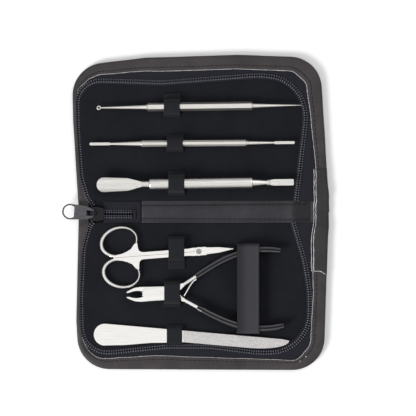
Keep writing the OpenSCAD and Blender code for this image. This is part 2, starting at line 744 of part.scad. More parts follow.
// One half as if closed: jaw on +y, cheek in the lower layer, handle crossing to -y
module nipper_half(handle_z) {
    difference() {
        union() {
            translate([0, 0, -nipper_t / 2]) linear_extrude(cheek) cheek_plan();
            // jaw at full height, thinning to the tip
            intersection() {
                translate([0, 0, -nipper_t / 2]) linear_extrude(nipper_t) jaw_plan();
                rotate([90, 0, 0]) linear_extrude(20, center = true)
                    polygon([[-14.9, -nipper_t / 2], [-14.9, nipper_t / 2], [-18, nipper_t / 2],
                             [-jaw_l, 1.5], [-jaw_l, -1.5], [-18, -nipper_t / 2]]);
            }
            // handle
            rotate(nipper_open / 2) mirror([0, 1, 0]) {
                translate([0, 0, handle_z]) handle_tube(0.02, arm_end, arm_w, arm_t);
                hull() {
                    translate([1.5, 1.4, -nipper_t / 2]) cylinder(h = cheek, r = 2.4, $fn = 32);
                    translate([7.2, 5, handle_z - arm_t / 2 + 0.1])
                        cylinder(h = arm_t - 0.3, r = 1.2, $fn = 24);
                }
            }
        }
        // room for the other half's cheek
        translate([0, 0, -0.05]) linear_extrude(9) {
            circle(4.9, $fn = 48);
            mirror([0, 1]) cheek_plan(0.35);
        }
        translate([0, 0, -9]) cylinder(h = 18, r = rivet_r + 0.15, $fn = 40);
    }
}

module nipper_moving_half() {
    color(STEEL) place(nipper_at, nipper_turn, nipper_z) rotate(-nipper_open / 2)
        nipper_half(grip_z);
}

module nipper_fixed_half() {
    color(STEEL) place(nipper_at, nipper_turn, nipper_z) rotate(nipper_open / 2)
        rotate([180, 0, 0]) nipper_half(-grip_z);
}

module nipper_grip() {
    difference() {
        handle_tube(grip_from, grip_end, grip_w, grip_d, rings = 16, blunt = 0.8);
        handle_tube(0.02, arm_end, arm_w, arm_t);
    }
}

module nipper_upper_grip() {
    color(VINYL) place(nipper_at, nipper_turn, nipper_z + grip_z) nipper_grip();
}

module nipper_lower_grip() {
    color(VINYL) place(nipper_at, nipper_turn, nipper_z + grip_z) mirror([0, 1, 0]) nipper_grip();
}

module nipper_pivot() {
    color(STEEL) place(nipper_at, nipper_turn, nipper_z) rotate_extrude($fn = 48)
        polygon([[0, -nipper_t / 2 + 0.1], [rivet_r, -nipper_t / 2 + 0.1], [rivet_r, nipper_t / 2],
                 [2.6, nipper_t / 2], [2.3, nipper_t / 2 + 0.25], [0, nipper_t / 2 + 0.35]]);
}

// Leaf spring: flat on the inside of the upper arm, then bowed across to the lower one
spring_line = [[16.6, 8.7], [13, 6.6], [11.5, 3], [7.8, -2.4]];
spring_t = 0.6;

module nipper_spring(steps = 8) {
    function side(t, s) = bezier(spring_line, t) + left_of(heading(spring_line, t)) * s * spring_t / 2;
    color(STEEL) place(nipper_at, nipper_turn, nipper_z + grip_z - 1.25)
        linear_extrude(2.5) polygon(concat([for (i = [0:steps]) side(i / steps, 1)],
                                           [for (i = [steps:-1:0]) side(i / steps, -1)]));
}

module nipper_spring_rivet() {
    d = heading(spring_line, 0.08);
    color(STEEL) place(nipper_at, nipper_turn, nipper_z + grip_z)
        translate(bezier(spring_line, 0.08)) rotate(atan2(d[1], d[0])) rotate([-90, 0, 0])
            translate([0, 0, spring_t / 2 + 0.05]) rotate_extrude($fn = 32)
                polygon([[0, 0], [0.9, 0], [0.75, 0.3], [0, 0.45]]);
}

// ---- nail file ----------------------------------------------------------------------------

file_at = [-13.2, -84.5];
file_turn = -5;
file_back = 3.85;                       // straight back above the middle line
file_bulge = 1.5;                       // how much wider it is under its loop

module nail_file() {
    belly = file_back - file_w;
    end_r = 7.35;
    color(STEEL) place(file_at, file_turn, tool_z) linear_extrude(file_t) polygon(concat(
        [for (a = [90:10:270]) [-54 + end_r * cos(a), file_back - end_r + end_r * sin(a)]],
        [[-40, file_back - 2 * end_r + 1.5], [-22, belly - 2.3], [-13.5, belly - file_bulge],
         [0, belly], [44, belly]],
        [for (i = [1:8]) let (t = i / 8) [44 + 27 * sin(90 * t), belly + (file_w - 0.6) * (1 - cos(90 * t))]],
        [[66, file_back]]));
}

// ---- loops --------------------------------------------------------------------------------

// Height across the case of an instrument's middle line where it passes x
function line_y(at, turn, x) = at[1] + (x - at[0]) * tan(turn);

module rod_loop(x, at, turn, z, r, flange) {
    y = line_y(at, turn, x);
    band(x, loop_w, [y - r, y + r], flange) translate([y, z]) circle(r, $fn = 40);
}

module probe_loop() {
    rod_loop(-21.7, probe_at, probe_turn, probe_z, probe_d / 2 + 0.5, [3, 5.2]);
}

module rasp_loop() {
    rod_loop(-19.7, rasp_at, rasp_turn, rasp_z, rasp_d / 2 + 0.3, [2.4, 2.8]);
}

module pusher_loop() {
    rod_loop(-18.7, pusher_at, pusher_turn, pusher_z, pusher_d / 2 + 0.2, [2.8, 3.4]);
}

// Wide enough for the half that swings open inside it
module scissors_loop() {
    x = -18.7;
    far = x - loop_w / 2;
    y0 = line_y(scissor_at, scissor_turn, far) - shank_w;
    y1 = line_y(scissor_at, scissor_turn - scissor_open, far) + shank_w / cos(scissor_open);
    span = [y0 - 2.2, y1 + 0.1];
    band(x, loop_w, span, [4.9, 0.4]) section_box(span, tool_z + scissor_t + screw_head);
}

module nipper_loop() {
    span = [nipper_at[1] - 6.7, nipper_at[1] + 6.3];
    band(-21.5, loop_w, span, [2.1, 0.4]) section_box(span, tool_z + nipper_t + 0.4);
}

// Outer edges of the grips, below (-1) or above (1), along the stretch that the wide band covers
function grip_edges(s) = [for (t = [0.56:0.04:0.84]) let (b = bezier(handle_line, t))
    nipper_at[1] + b[0] * sin(nipper_turn) + s * (b[1] + grip_w / 2) * cos(nipper_turn)];

module nipper_band() {
    span = [min(grip_edges(-1)), max(grip_edges(1))];
    band(29.8, wide_w, span, [0, 0]) section_box(span, nipper_z + grip_z + grip_d / 2);
}

module file_loop() {
    x = -20;
    back = line_y(file_at, file_turn, x - loop_w / 2) + file_back;
    span = [back - file_w - file_bulge, back + 0.1];
    band(x, loop_w, span, [0, 1.8]) section_box(span, tool_z + file_t);
}

// ---- nodes --------------------------------------------------------------------------------

half_cover(LOWER);  // lower_cover
half_board(LOWER);  // lower_board
half_lining(LOWER);  // lower_lining
half_tape(LOWER);  // lower_zip_tape
half_teeth(LOWER);  // lower_zip_teeth
half_patch(LOWER);  // lower_end_patch
scissors_loop();
nipper_loop();
nipper_band();
file_loop();
spine_cover();
spine_board();
spine_strip();
spine_end_patch();
tail_tape();
tail_teeth();
tail_stop();
tail_hem();
zip_slider();
zip_pull();
half_cover(UPPER);  // upper_cover
half_board(UPPER);  // upper_board
half_lining(UPPER);  // upper_lining
half_tape(UPPER);  // upper_zip_tape
half_teeth(UPPER);  // upper_zip_teeth
half_patch(UPPER);  // upper_end_patch
probe_loop();
rasp_loop();
pusher_loop();
probe_handle();
probe_needle();
probe_ring_tip();
rasp_handle();
rasp_left_tip();
rasp_right_tip();
pusher_handle();
pusher_spoon();
pusher_blade();
scissors_fixed_half();
scissors_moving_half();
scissors_screw();
nipper_fixed_half();
nipper_moving_half();
nipper_upper_grip();
nipper_lower_grip();
nipper_pivot();
nipper_spring();
nipper_spring_rivet();
nail_file();
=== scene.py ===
# %% [markdown]
# # A zip-around manicure case, lying open
# The rigid pieces, which are the instruments, the slider and the pull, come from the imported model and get
# their finish here. Leather, velvet, zip tape, teeth and elastic are soft, so they are modelled here as
# meshes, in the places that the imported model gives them. All sizes are in metres, so `mm` turns the
# millimetres that a case maker thinks in into metres.

# %% Load the frame
import bpy
import bmesh
import json
import math
from mathutils import Matrix, Vector, noise


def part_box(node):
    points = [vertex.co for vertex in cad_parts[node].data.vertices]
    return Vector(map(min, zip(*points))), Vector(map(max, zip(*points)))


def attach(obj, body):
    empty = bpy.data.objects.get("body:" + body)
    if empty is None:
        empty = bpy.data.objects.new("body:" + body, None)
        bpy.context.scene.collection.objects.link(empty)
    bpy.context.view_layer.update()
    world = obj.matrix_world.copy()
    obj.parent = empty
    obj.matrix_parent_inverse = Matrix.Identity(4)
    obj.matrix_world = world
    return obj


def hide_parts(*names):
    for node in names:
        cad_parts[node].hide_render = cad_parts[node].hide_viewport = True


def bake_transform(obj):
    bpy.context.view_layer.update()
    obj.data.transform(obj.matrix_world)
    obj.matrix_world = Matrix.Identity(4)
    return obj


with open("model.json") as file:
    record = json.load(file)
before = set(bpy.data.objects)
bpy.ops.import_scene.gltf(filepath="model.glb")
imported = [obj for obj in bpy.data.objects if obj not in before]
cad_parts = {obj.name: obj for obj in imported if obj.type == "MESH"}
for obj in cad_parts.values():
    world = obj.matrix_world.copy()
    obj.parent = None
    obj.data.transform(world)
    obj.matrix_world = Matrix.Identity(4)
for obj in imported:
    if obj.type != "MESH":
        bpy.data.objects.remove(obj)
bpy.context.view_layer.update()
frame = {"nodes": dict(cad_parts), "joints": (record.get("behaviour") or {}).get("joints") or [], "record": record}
mm = 0.001
nodes = frame["nodes"]

# %% [markdown]
# ## Sizes that everything shares
# The fold lines, the height of the velvet and the height of the rim are read from the frame: the joints say
# where the case folds, and the boxes of the nodes say how high each layer stands.

# %% Read the layers and the fold lines
joint = {j["name"]: j for j in frame["joints"]}
FOLD_Y = abs(joint["spine_fold"]["pos_m"][1])
VELVET_Z = joint["spine_fold"]["pos_m"][2]
HALF_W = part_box("spine_cover")[1].x
RIM_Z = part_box("lower_cover")[1].z
TAPE_LOW, TAPE_TOP = (corner.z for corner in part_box("lower_zip_tape"))
HALF_D = 107 * mm
CORNER_R = 22 * mm
ROLL = 1.6 * mm                 # radius of the rolled edge
LEATHER, WRAP_LEATHER, VELVET, TAPE = 0.8 * mm, 0.45 * mm, 0.6 * mm, 0.35 * mm      # thicknesses
print("fold lines at", round(FOLD_Y / mm, 2), "mm, velvet at", round(VELVET_Z / mm, 2), "mm")

# %% [markdown]
# ## The outline of the case
# A soft case never lies quite square. Its sides are given by their corner points in millimetres, from the
# left end of the spine round to the right end, and a round of 22 mm joins them. `rounded` turns corner
# points into a line with arcs, and `stations` walks along a line in even steps and says, at each step,
# which way is inwards.

# %% Lines with rounded corners
def rounded(corners, radii, steps=10):
    """Points along a line through the corners, each inner corner rounded by an arc."""
    points = [Vector(corners[0])]
    for before, corner, after, radius in zip(corners, corners[1:], corners[2:], radii):
        into = (Vector(corner) - Vector(before)).normalized()
        out = (Vector(after) - Vector(corner)).normalized()
        turn = math.atan2(into.x * out.y - into.y * out.x, into.dot(out))
        side = math.copysign(1, turn)
        start = Vector(corner) - into * radius * math.tan(abs(turn) / 2)
        left = Vector((-into.y, into.x)) * side
        centre = start + left * radius
        for k in range(steps + 1):
            spoke = Matrix.Rotation(turn * k / steps, 2) @ -left
            points.append(centre + spoke * radius)
    points.append(Vector(corners[-1]))
    return points


def stations(points, step, inner):
    """Even steps along a line: (point, direction, inwards, distance). inner is +1 if inwards is left."""
    walked = [0.0]
    for a, b in zip(points, points[1:]):
        walked.append(walked[-1] + (b - a).length)
    count = max(2, round(walked[-1] / step))
    found, leg = [], 0
    for k in range(count + 1):
        s = walked[-1] * k / count
        while leg < len(points) - 2 and walked[leg + 1] < s:
            leg += 1
        a, b = points[leg], points[leg + 1]
        point = a.lerp(b, (s - walked[leg]) / max(walked[leg + 1] - walked[leg], 1e-9))
        found.append([point, (b - a).normalized(), None, s])
    for k, row in enumerate(found):
        along = (found[min(k + 1, count)][0] - found[max(k - 1, 0)][0]).normalized()
        row[1], row[2] = along, Vector((-along.y, along.x)) * inner
    return found


print("a quarter round takes", len(rounded([(0, 0), (1, 0), (1, 1)], [0.1])), "points")

# %% The outline and the zip's path of each half
UPPER, LOWER = 1, -1
HALVES = LOWER, UPPER
NAME = {UPPER: "upper", LOWER: "lower"}
BODY = {UPPER: "case_upper", LOWER: "case_lower"}
EDGE = {
    UPPER: [(-85, 0), (-88.9, 62.06), (-89.7, 98.6), (-39.95, 104.5), (22.1, 106.5), (78.8, 104.6), (85, 0)],
    LOWER: [(-85, 0), (-86.7, -74), (-84.8, -106.8), (81.2, -107.6), (84.6, 0)],
}
TRACK = {
    UPPER: [(-75.4, 4.4), (-79.2, 9.8), (-83.4, 24), (-85.7, 55.64), (-86.4, 89.6), (-28.05, 87.7),
            (35.7, 92.6), (69.6, 90), (68.9, 60), (62.9, 9.8), (62.7, 7.9)],
    LOWER: [(-75.4, -7.6), (-77.4, -9.8), (-81.6, -24), (-83.6, -60), (-82.4, -95.6), (-62.05, -95.4),
            (-24.65, -91.4), (4.25, -91.6), (35.7, -95.6), (71.6, -95.5), (71.9, -55), (68.3, -33),
            (61.4, -9.8), (60.8, -7.9)],
}
BEND = {UPPER: [10, 30, 40, 16, 60, 60, 27, 50, 40],
        LOWER: [6, 30, 40, 17, 60, 80, 80, 60, 27, 50, 50, 40]}
outline, zip_line, edge_walk = {}, {}, {}
for side in HALVES:
    edge_mm = [Vector(corner) * mm for corner in EDGE[side]]
    outline[side] = rounded(edge_mm, [CORNER_R] * (len(edge_mm) - 2), 14)
    zip_line[side] = rounded([Vector(c) * mm for c in TRACK[side]], [r * mm for r in BEND[side]], 8)
    edge_walk[side] = stations(outline[side], 0.8 * mm, -side)
    print(NAME[side], "edge is", round(edge_walk[side][-1][3] / mm), "mm long")


def along_edge(side, place):
    """How far along the outline of a half its point nearest to a place lies."""
    return min(edge_walk[side], key=lambda row: (row[0] - Vector(place)).length_squared)[3]


def waver(*place, size, seed=0):
    """Smooth noise from -1 to 1 at a place, whose waves are about size millimetres long."""
    spot = Vector([p / (size * mm) for p in place] + [0] * (3 - len(place)))
    return noise.noise(spot + Vector((seed * 17.3, seed * 5.1, seed * 9.7)))


print("noise at the middle of the case:", round(waver(0.001, 0.002, size=10), 3))

# %% [markdown]
# ## Tools of the bench
# Nearly every soft piece is a section swept along a line: the leather rim, the tape, the strip, the loops.
# `sweep` lays the first section as an edge chain and then uses bmesh's extrude again and again, moving each
# new chain to its station. It keeps the distance along and across as a UV map, for weaves that follow it.

# %% Sweep a section along a line
def placed(name, data, place=(0, 0, 0)):
    """A new object in the scene."""
    made = bpy.data.objects.new(name, data)
    bpy.context.scene.collection.objects.link(made)
    made.location = place
    return made


def new_piece(name, bm):
    """A smooth mesh object from a bmesh."""
    mesh = bpy.data.meshes.new(name)
    bm.to_mesh(mesh)
    bm.free()
    mesh.shade_smooth()
    return placed(name, mesh)


def extruded(bm, chain):
    """Extrude a chain of vertices once and return the new chain in the same order."""
    edges = [bm.edges.get(pair) for pair in zip(chain, chain[1:])]
    if len(chain) > 2 and bm.edges.get((chain[-1], chain[0])):
        edges.append(bm.edges.get((chain[-1], chain[0])))
    made = bmesh.ops.extrude_edge_only(bm, edges=edges)["geom"]
    fresh = {v for v in made if isinstance(v, bmesh.types.BMVert)}
    return [next(e.other_vert(v) for e in v.link_edges if e.other_vert(v) in fresh) for v in chain]


def sweep(sections, ring=False):
    """A bmesh through a list of sections, each a list of points in space with as many points."""
    bm = bmesh.new()
    uv = bm.loops.layers.uv.new("weave")
    chain = [bm.verts.new(p) for p in sections[0]]
    for pair in zip(chain, chain[1:]):
        bm.edges.new(pair)
    if ring:
        bm.edges.new((chain[-1], chain[0]))
    rows = [chain]
    for section in sections[1:]:
        chain = extruded(bm, chain)
        for vert, place in zip(chain, section):
            vert.co = place
        rows.append(chain)
    spot, along = {}, 0.0
    for k, row in enumerate(rows):
        if k:
            along += (row[len(row) // 2].co - rows[k - 1][len(row) // 2].co).length
        across = 0.0
        for j, vert in enumerate(row):
            if j:
                across += (vert.co - row[j - 1].co).length
            spot[vert] = (along, across)
    for face in bm.faces:
        for loop in face.loops:
            loop[uv].uv = spot[loop.vert]
    return bm, rows


def outward(bm):
    bmesh.ops.recalc_face_normals(bm, faces=bm.faces)
    return bm


def thicken(piece, thickness):
    shell = piece.modifiers.new("thickness", "SOLIDIFY")
    shell.thickness = thickness
    shell.offset = -1.0


def facing_up(bm):
    """Normals recalculated so that an open sheet looks upwards."""
    outward(bm)
    if sum(face.normal.z * face.calc_area() for face in bm.faces) < 0:
        bmesh.ops.reverse_faces(bm, faces=bm.faces)
    return bm


def capped(bm, rows):
    """Close both ends of a swept tube."""
    for end in (rows[0], rows[-1]):
        bmesh.ops.contextual_create(bm, geom=end)
    return outward(bm)


def cut(bm, place, normal, clear=False):
    """Cut a mesh by a plane, and clear what lies in front of the plane if asked."""
    bmesh.ops.bisect_plane(bm, geom=bm.verts[:] + bm.edges[:] + bm.faces[:], dist=1e-7, plane_co=place,
                           plane_no=normal, clear_outer=clear)


def beside(point, inward, line):
    """A section in space from (inset, height) pairs beside a point of the outline."""
    return [Vector((*(point + inward * inset), height)) for inset, height in line]


def evenly(low, high, count):
    return [low + (high - low) * k / count for k in range(count + 1)]


def sheet(name, sections, thickness):
    """An open section swept into a sheet that looks upwards, and thickened."""
    piece = new_piece(name, facing_up(sweep(sections)[0]))
    thicken(piece, thickness)
    return piece


def tube(name, sections):
    """A closed section swept and capped at both ends."""
    return new_piece(name, capped(*sweep(sections, ring=True)))


def small_mesh(rings):
    """A closed mesh of a few dozen faces, to be repeated many times."""
    bm = capped(*sweep(rings, ring=True))
    pattern = bpy.data.meshes.new("pattern")
    bm.to_mesh(pattern)
    bm.free()
    return pattern


def repeated(name, pattern, places):
    """One mesh with a copy of a small pattern mesh at each place: (centre, angle from above)."""
    bm = bmesh.new()
    for centre, angle in places:
        first = len(bm.verts)
        bm.from_mesh(pattern)
        bm.verts.ensure_lookup_table()
        bmesh.ops.transform(bm, verts=bm.verts[first:],
                            matrix=Matrix.Translation(centre) @ Matrix.Rotation(angle, 4, "Z"))
    return new_piece(name, bm)


def bead(length, width, height, segments=6):
    """A small grain of thread: a squashed cone-ended rod along X, as a mesh."""
    ends = [(-1.0, 0.25), (-0.7, 0.8), (0.0, 1.0), (0.7, 0.8), (1.0, 0.25)]
    return small_mesh([[Vector((length / 2 * x, width / 2 * r * math.cos(a), height / 2 * r * math.sin(a)))
                        for a in (math.tau * k / segments for k in range(segments))] for x, r in ends])


def across_fold(piece):
    """Bake a piece's placement into its mesh."""
    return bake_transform(piece)


print("a bead of thread has", len(bead(2 * mm, 0.5 * mm, 0.4 * mm).polygons), "faces")


# %% [markdown]
# ## Finishes
# Each finish is a small node tree. `Finish` starts one with a Principled shader, `mixed` lays a colour over
# it and `bumped` gives it a relief. Image textures would be quicker to set up, but a pattern made of nodes
# stays sharp at any size. Patterns are read from Object coordinates, or from the UV map where a weave
# follows the piece.

# %% Helpers for finishes
def srgb(red, green, blue):
    """A colour given as a screen shows it, 0 to 255, in the linear form that the shader takes."""
    line = [((c / 255 + 0.055) / 1.055) ** 2.4 if c > 10 else c / 255 / 12.92 for c in (red, green, blue)]
    return (*line, 1.0)


def greys(stops):
    """Plain greys as stops of a ramp."""
    return [(place, (level, level, level, 1)) for place, level in stops]


class Nodes:
    """A node tree, and short ways to add nodes to it."""

    def __init__(self, tree):
        self.tree = tree

    def node(self, kind, **settings):
        made = self.tree.nodes.new(kind)
        for key, value in settings.items():
            if key in made.inputs:
                made.inputs[key].default_value = value
            else:
                setattr(made, key, value)
        return made

    def feed(self, socket, value):
        """Link an output to a socket, or give the socket a plain value."""
        if isinstance(value, bpy.types.NodeSocket):
            self.tree.links.new(value, socket)
        else:
            socket.default_value = value

    def math(self, operation, first, second=0.0, third=0.0):
        made = self.node("ShaderNodeMath", operation=operation)
        for socket, value in zip(made.inputs, (first, second, third)):
            self.feed(socket, value)
        return made.outputs["Value"]

    def parts(self, vector):
        """The three parts of a vector, as outputs named X, Y and Z."""
        split = self.node("ShaderNodeSeparateXYZ")
        self.feed(split.inputs["Vector"], vector)
        return split.outputs

    def spread(self, value, **ends):
        """A value moved to another range."""
        made = self.node("ShaderNodeMapRange", **{key.replace("_", " "): end for key, end in ends.items()})
        self.feed(made.inputs["Value"], value)
        return made.outputs["Result"]


class Finish(Nodes):
    """One material."""

    def __init__(self, name, colour, roughness=0.5, metallic=0.0):
        self.material = bpy.data.materials.new(name)
        self.material.use_nodes = True
        super().__init__(self.material.node_tree)
        self.shader = self.tree.nodes["Principled BSDF"]
        self.set("Base Color", colour)
        self.set("Roughness", roughness)
        self.set("Metallic", metallic)

    def set(self, name, value):
        self.feed(self.shader.inputs[name], value)

    def place(self, which="Object", stretch=(1, 1, 1), turn=(0, 0, 0)):
        """Coordinates for a pattern, in metres, turned and stretched."""
        mapping = self.node("ShaderNodeMapping", Scale=stretch, Rotation=turn)
        self.feed(mapping.inputs["Vector"], self.node("ShaderNodeTexCoord").outputs[which])
        return mapping.outputs["Vector"]

    def pattern(self, kind, place, output, **settings):
        made = self.node(kind, **settings)
        self.feed(made.inputs["Vector"], place)
        return made.outputs[output]

    def clouds(self, place, scale, detail=2.0, roughness=0.5):
        return self.pattern("ShaderNodeTexNoise", place, "Fac", Scale=scale, Detail=detail,
                            Roughness=roughness)

    def ramp(self, value, stops):
        """Colours along a value: stops are (place, colour)."""
        made = self.node("ShaderNodeValToRGB")
        while len(made.color_ramp.elements) < len(stops):
            made.color_ramp.elements.new(0.5)
        for element, (place, colour) in zip(made.color_ramp.elements, stops):
            element.position = place
            element.color = colour
        self.feed(made.inputs["Fac"], value)
        return made.outputs["Color"]

    def mixed(self, factor, colour, blend="MIX"):
        """Lay a colour over the present one."""
        mix = self.node("ShaderNodeMix", data_type="RGBA", blend_type=blend)
        below, above, result = mix.inputs[6], mix.inputs[7], mix.outputs[2]     # its colour sockets
        self.feed(mix.inputs["Factor"], factor)
        self.feed(below, self.shader.inputs["Base Color"].links[0].from_socket)
        self.feed(above, colour)
        self.set("Base Color", result)

    def bumped(self, height, distance, strength=1.0):
        relief = self.node("ShaderNodeBump", Strength=strength, Distance=distance)
        self.feed(relief.inputs["Height"], height)
        self.set("Normal", relief.outputs["Normal"])
        return self


print("white is", [round(c, 3) for c in srgb(255, 255, 255)[:3]])

# %% [markdown]
# ### Leather
# The case is covered in grained leathercloth. The grain is a pebble pattern with soft creases over it, both
# only in the relief, and the wear is a slow noise in the colour. The padded strip's finish also gets painted
# light and shade by the distance from the middle of the spine: brightest along its crown, painted shade in
# its grooves and flanges and a painted highlight on its outer edges. Along it there is a painted highlight on
# the crease ridge and painted shade on the pressed right-hand end.

# %% Leather: fine pebbled grain with worn, slightly browner high spots
def leather(name, dark, light, shine=0.32):
    made = Finish(name, dark)
    spot = made.place()
    pebbles = made.pattern("ShaderNodeTexVoronoi", spot, "Distance", Scale=1500.0, feature="SMOOTH_F1",
                           Smoothness=0.6)
    wear = made.clouds(spot, 60.0, 5.0, 0.6)
    made.set("Base Color", made.ramp(wear, [(0.32, dark), (0.72, light)]))
    made.set("Roughness", made.spread(wear, To_Min=0.42, To_Max=0.62))
    crease = made.clouds(spot, 240.0, 4.0)
    made.set("Specular IOR Level", shine)
    return made.bumped(made.math("MULTIPLY_ADD", crease, 0.8, pebbles), 0.00012, 0.5)


def painted_light_and_shade(made, stops, along, reach):
    """Painted light and shade on a finish, by its distance from the middle of the spine and along it."""
    spot = made.parts(made.place())
    away = made.math("MULTIPLY", made.math("ABSOLUTE", spot["Y"]), 1 / reach)
    far = made.math("MULTIPLY_ADD", spot["X"], 8.0, 0.4)
    made.mixed(1.0, made.ramp(away, greys(stops)), "MULTIPLY")
    made.mixed(1.0, made.ramp(far, greys(along)), "MULTIPLY")
    return made


rim_leather = leather("rim_leather", srgb(46, 43, 45), srgb(67, 62, 64), 0.28)
wrap_leather = leather("wrap_leather", srgb(43, 41, 43), srgb(56, 54, 56), 0.22)
# painted light and shade on the strip: across it painted shade in the grooves and flanges and a painted  highlight
# on the outer edges; along it a little darker at the left end, a painted highlight on the crease  ridge near 58.8
# mm and painted shade on the pressed end
strip_leather = painted_light_and_shade(leather("strip_leather", srgb(46, 45, 50), srgb(60, 59, 64), 0.2),
                       [(0.0, 1.0), (0.5, 0.9), (0.62, 0.82), (0.8, 0.78), (0.93, 0.74), (0.99, 1.2)],
                       [(0.0, 0.9), (0.1, 1.0), (0.82, 0.9), (0.87, 1.2), (0.9, 0.42)], 7.5 * mm)
end_leather = leather("end_leather", srgb(44, 43, 47), srgb(54, 53, 57))
print("leathers:", rim_leather.material.name, strip_leather.material.name, end_leather.material.name)


# %% [markdown]
# ### Velvet and cloth
# Velvet is nearly black, with slow clouds where its pile leans away, so it takes a rough surface, little
# sheen and a very fine relief. Hair would show the pile better, but would be lost in the exported model. The
# zip tape is a fine slanted weave and the elastic has ribs along it. Both are waves read along the piece.

# %% Velvet: a short pile, dark, lighter where it leans away
def velvet(name, dark, light):
    made = Finish(name, dark, 0.95)
    spot = made.place()
    lean = made.clouds(spot, 42.0, 6.0, 0.65)
    made.set("Base Color", made.ramp(lean, [(0.3, dark), (0.75, light)]))
    made.set("Sheen Weight", 0.04)
    made.set("Sheen Roughness", 0.5)
    made.set("Specular IOR Level", 0.08)
    return made.bumped(made.clouds(spot, 2600.0), 0.00015, 0.6)


lining_velvet = velvet("lining_velvet", srgb(25, 26, 31), srgb(33, 34, 39))
print("velvet:", lining_velvet.material.name)


# %% Woven tape and ribbed elastic, both read along the piece from its UV map
def woven(name, dark, light, thread, slant, bands="X"):
    """thread is the distance from thread to thread; a wave texture repeats every 0.314 / Scale."""
    made = Finish(name, dark, 0.85)
    warp = made.pattern("ShaderNodeTexWave", made.place("UV"), "Fac", Scale=0.314 / thread, Distortion=0.4,
                        bands_direction=bands)
    weft = made.pattern("ShaderNodeTexWave", made.place("UV", turn=(0, 0, math.pi / 2 - slant)), "Fac",
                        Scale=0.314 / thread, Distortion=0.3)
    cloth = made.math("MULTIPLY_ADD", weft, 0.6, warp)
    made.set("Base Color", made.ramp(made.math("MULTIPLY", cloth, 0.6), [(0.1, dark), (0.9, light)]))
    made.set("Sheen Weight", 0.05)
    made.set("Specular IOR Level", 0.15)
    return made.bumped(cloth, 0.00012, 0.6)


zip_tape = woven("zip_tape", srgb(27, 27, 34), srgb(40, 40, 49), 0.0006, 0.5, "DIAGONAL")
loop_elastic = woven("loop_elastic", srgb(27, 28, 32), srgb(36, 37, 41), 0.0009, 0.0)
band_elastic = woven("band_elastic", srgb(54, 54, 58), srgb(70, 70, 75), 0.0009, 0.0)
print("threads every 0.6 to 0.9 mm")


# %% [markdown]
# ### Nylon, thread, board, plated metal and dipped grips
# These small parts differ in colour, gloss and the size of their grain, so one function makes them all.

# %% Nylon, thread, raw edge, covered board, slider and grips
def plain(name, dark, light, roughness, grain, depth, metallic=0.0, shine=0.5):
    made = Finish(name, dark, roughness, metallic)
    cloud = made.clouds(made.place(), grain, 4.0)
    made.set("Base Color", made.ramp(cloud, [(0.3, dark), (0.7, light)]))
    made.set("Specular IOR Level", shine)
    return made.bumped(cloud, depth, 0.5)


coil_nylon = plain("coil_nylon", srgb(96, 97, 108), srgb(128, 129, 143), 0.34, 900.0, 0.00004)
dark_thread = plain("dark_thread", srgb(18, 18, 20), srgb(30, 30, 33), 0.7, 2500.0, 0.00008, shine=0.2)
raw_edge = plain("raw_edge", srgb(146, 144, 144), srgb(226, 224, 223), 0.9, 1300.0, 0.0002)
covered_board = plain("covered_board", srgb(27, 28, 33), srgb(36, 37, 42), 0.95, 1800.0, 0.0001, shine=0.1)
gunmetal = plain("gunmetal", srgb(74, 73, 78), srgb(93, 92, 97), 0.36, 700.0, 0.00003, 0.8)
slider_black = plain("slider_black", srgb(22, 22, 26), srgb(34, 34, 39), 0.42, 700.0, 0.00003, 0.7)
grip_vinyl = plain("grip_vinyl", srgb(10, 10, 12), srgb(17, 17, 19), 0.14, 300.0, 0.00003, shine=0.2)
print("plain finishes made")


# %% [markdown]
# ### Painted highlights on the grips, and painted light and shade across the wide band
# Dipped grips get painted highlights: grey lines along their shoulders, where a lamp catches the gloss. A
# painted line would have to follow each curve. How far the surface leans says where a shoulder is, and that
# holds on any curve. The wide band gets painted shade towards its left edge and a painted highlight along its
# right edge, so its colour is shaded across it.

# %% Painted highlight lines along the grips, and painted shade and highlight across the wide band
def painted_grip_highlights(made, highlit):
    """Painted highlights: grey lines on both shoulders of a dipped grip, found by how far its surface leans."""
    lean = made.parts(made.node("ShaderNodeNewGeometry").outputs["Normal"])["Z"]
    made.mixed(made.ramp(lean, greys([(0.8, 0), (0.86, 1), (0.9, 1), (0.94, 0)])), highlit)


def painted_band_light_and_shade(made, left, right):
    """Painted shade towards a ribbon's left edge, and a painted highlight along its right edge."""
    share = made.math("DIVIDE", made.math("SUBTRACT", made.parts(made.place())["X"], left), right - left)
    shades = greys([(0.0, 0.45), (0.2, 0.62), (0.45, 1.0), (0.95, 1.1), (1.0, 1.5)])
    made.mixed(1.0, made.ramp(share, shades), "MULTIPLY")


# painted highlights along both shoulders of each grip
painted_grip_highlights(grip_vinyl, srgb(74, 74, 79))
# painted shade towards the wide band's left edge, painted highlight along its right edge
painted_band_light_and_shade(band_elastic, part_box("nipper_band")[0].x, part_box("nipper_band")[1].x)
print("grips worn, band darkened")


# %% [markdown]
# ## Steel
# The instruments are satin steel: fine scratches run along each one, so the noise that makes them is
# stretched along the piece. The rods, scissors, nipper and file lie at slightly different angles, so the
# finish is made once for each angle.

# %% Brushed steel at an angle
def steel(name, angle, light=(247, 245, 242), dark=(226, 223, 220), roughness=(0.22, 0.34)):
    made = Finish(name, srgb(*light), 0.3, 1.0)
    spot = made.place(stretch=(60, 1600, 1600), turn=(0, 0, -math.radians(angle)))
    scratch = made.clouds(spot, 1.0, 6.0, 0.7)
    made.set("Base Color", made.ramp(scratch, [(0.25, srgb(*dark)), (0.7, srgb(*light))]))
    made.set("Roughness", made.spread(scratch, To_Min=roughness[0], To_Max=roughness[1]))
    return made.bumped(scratch, 0.00001, 0.3)


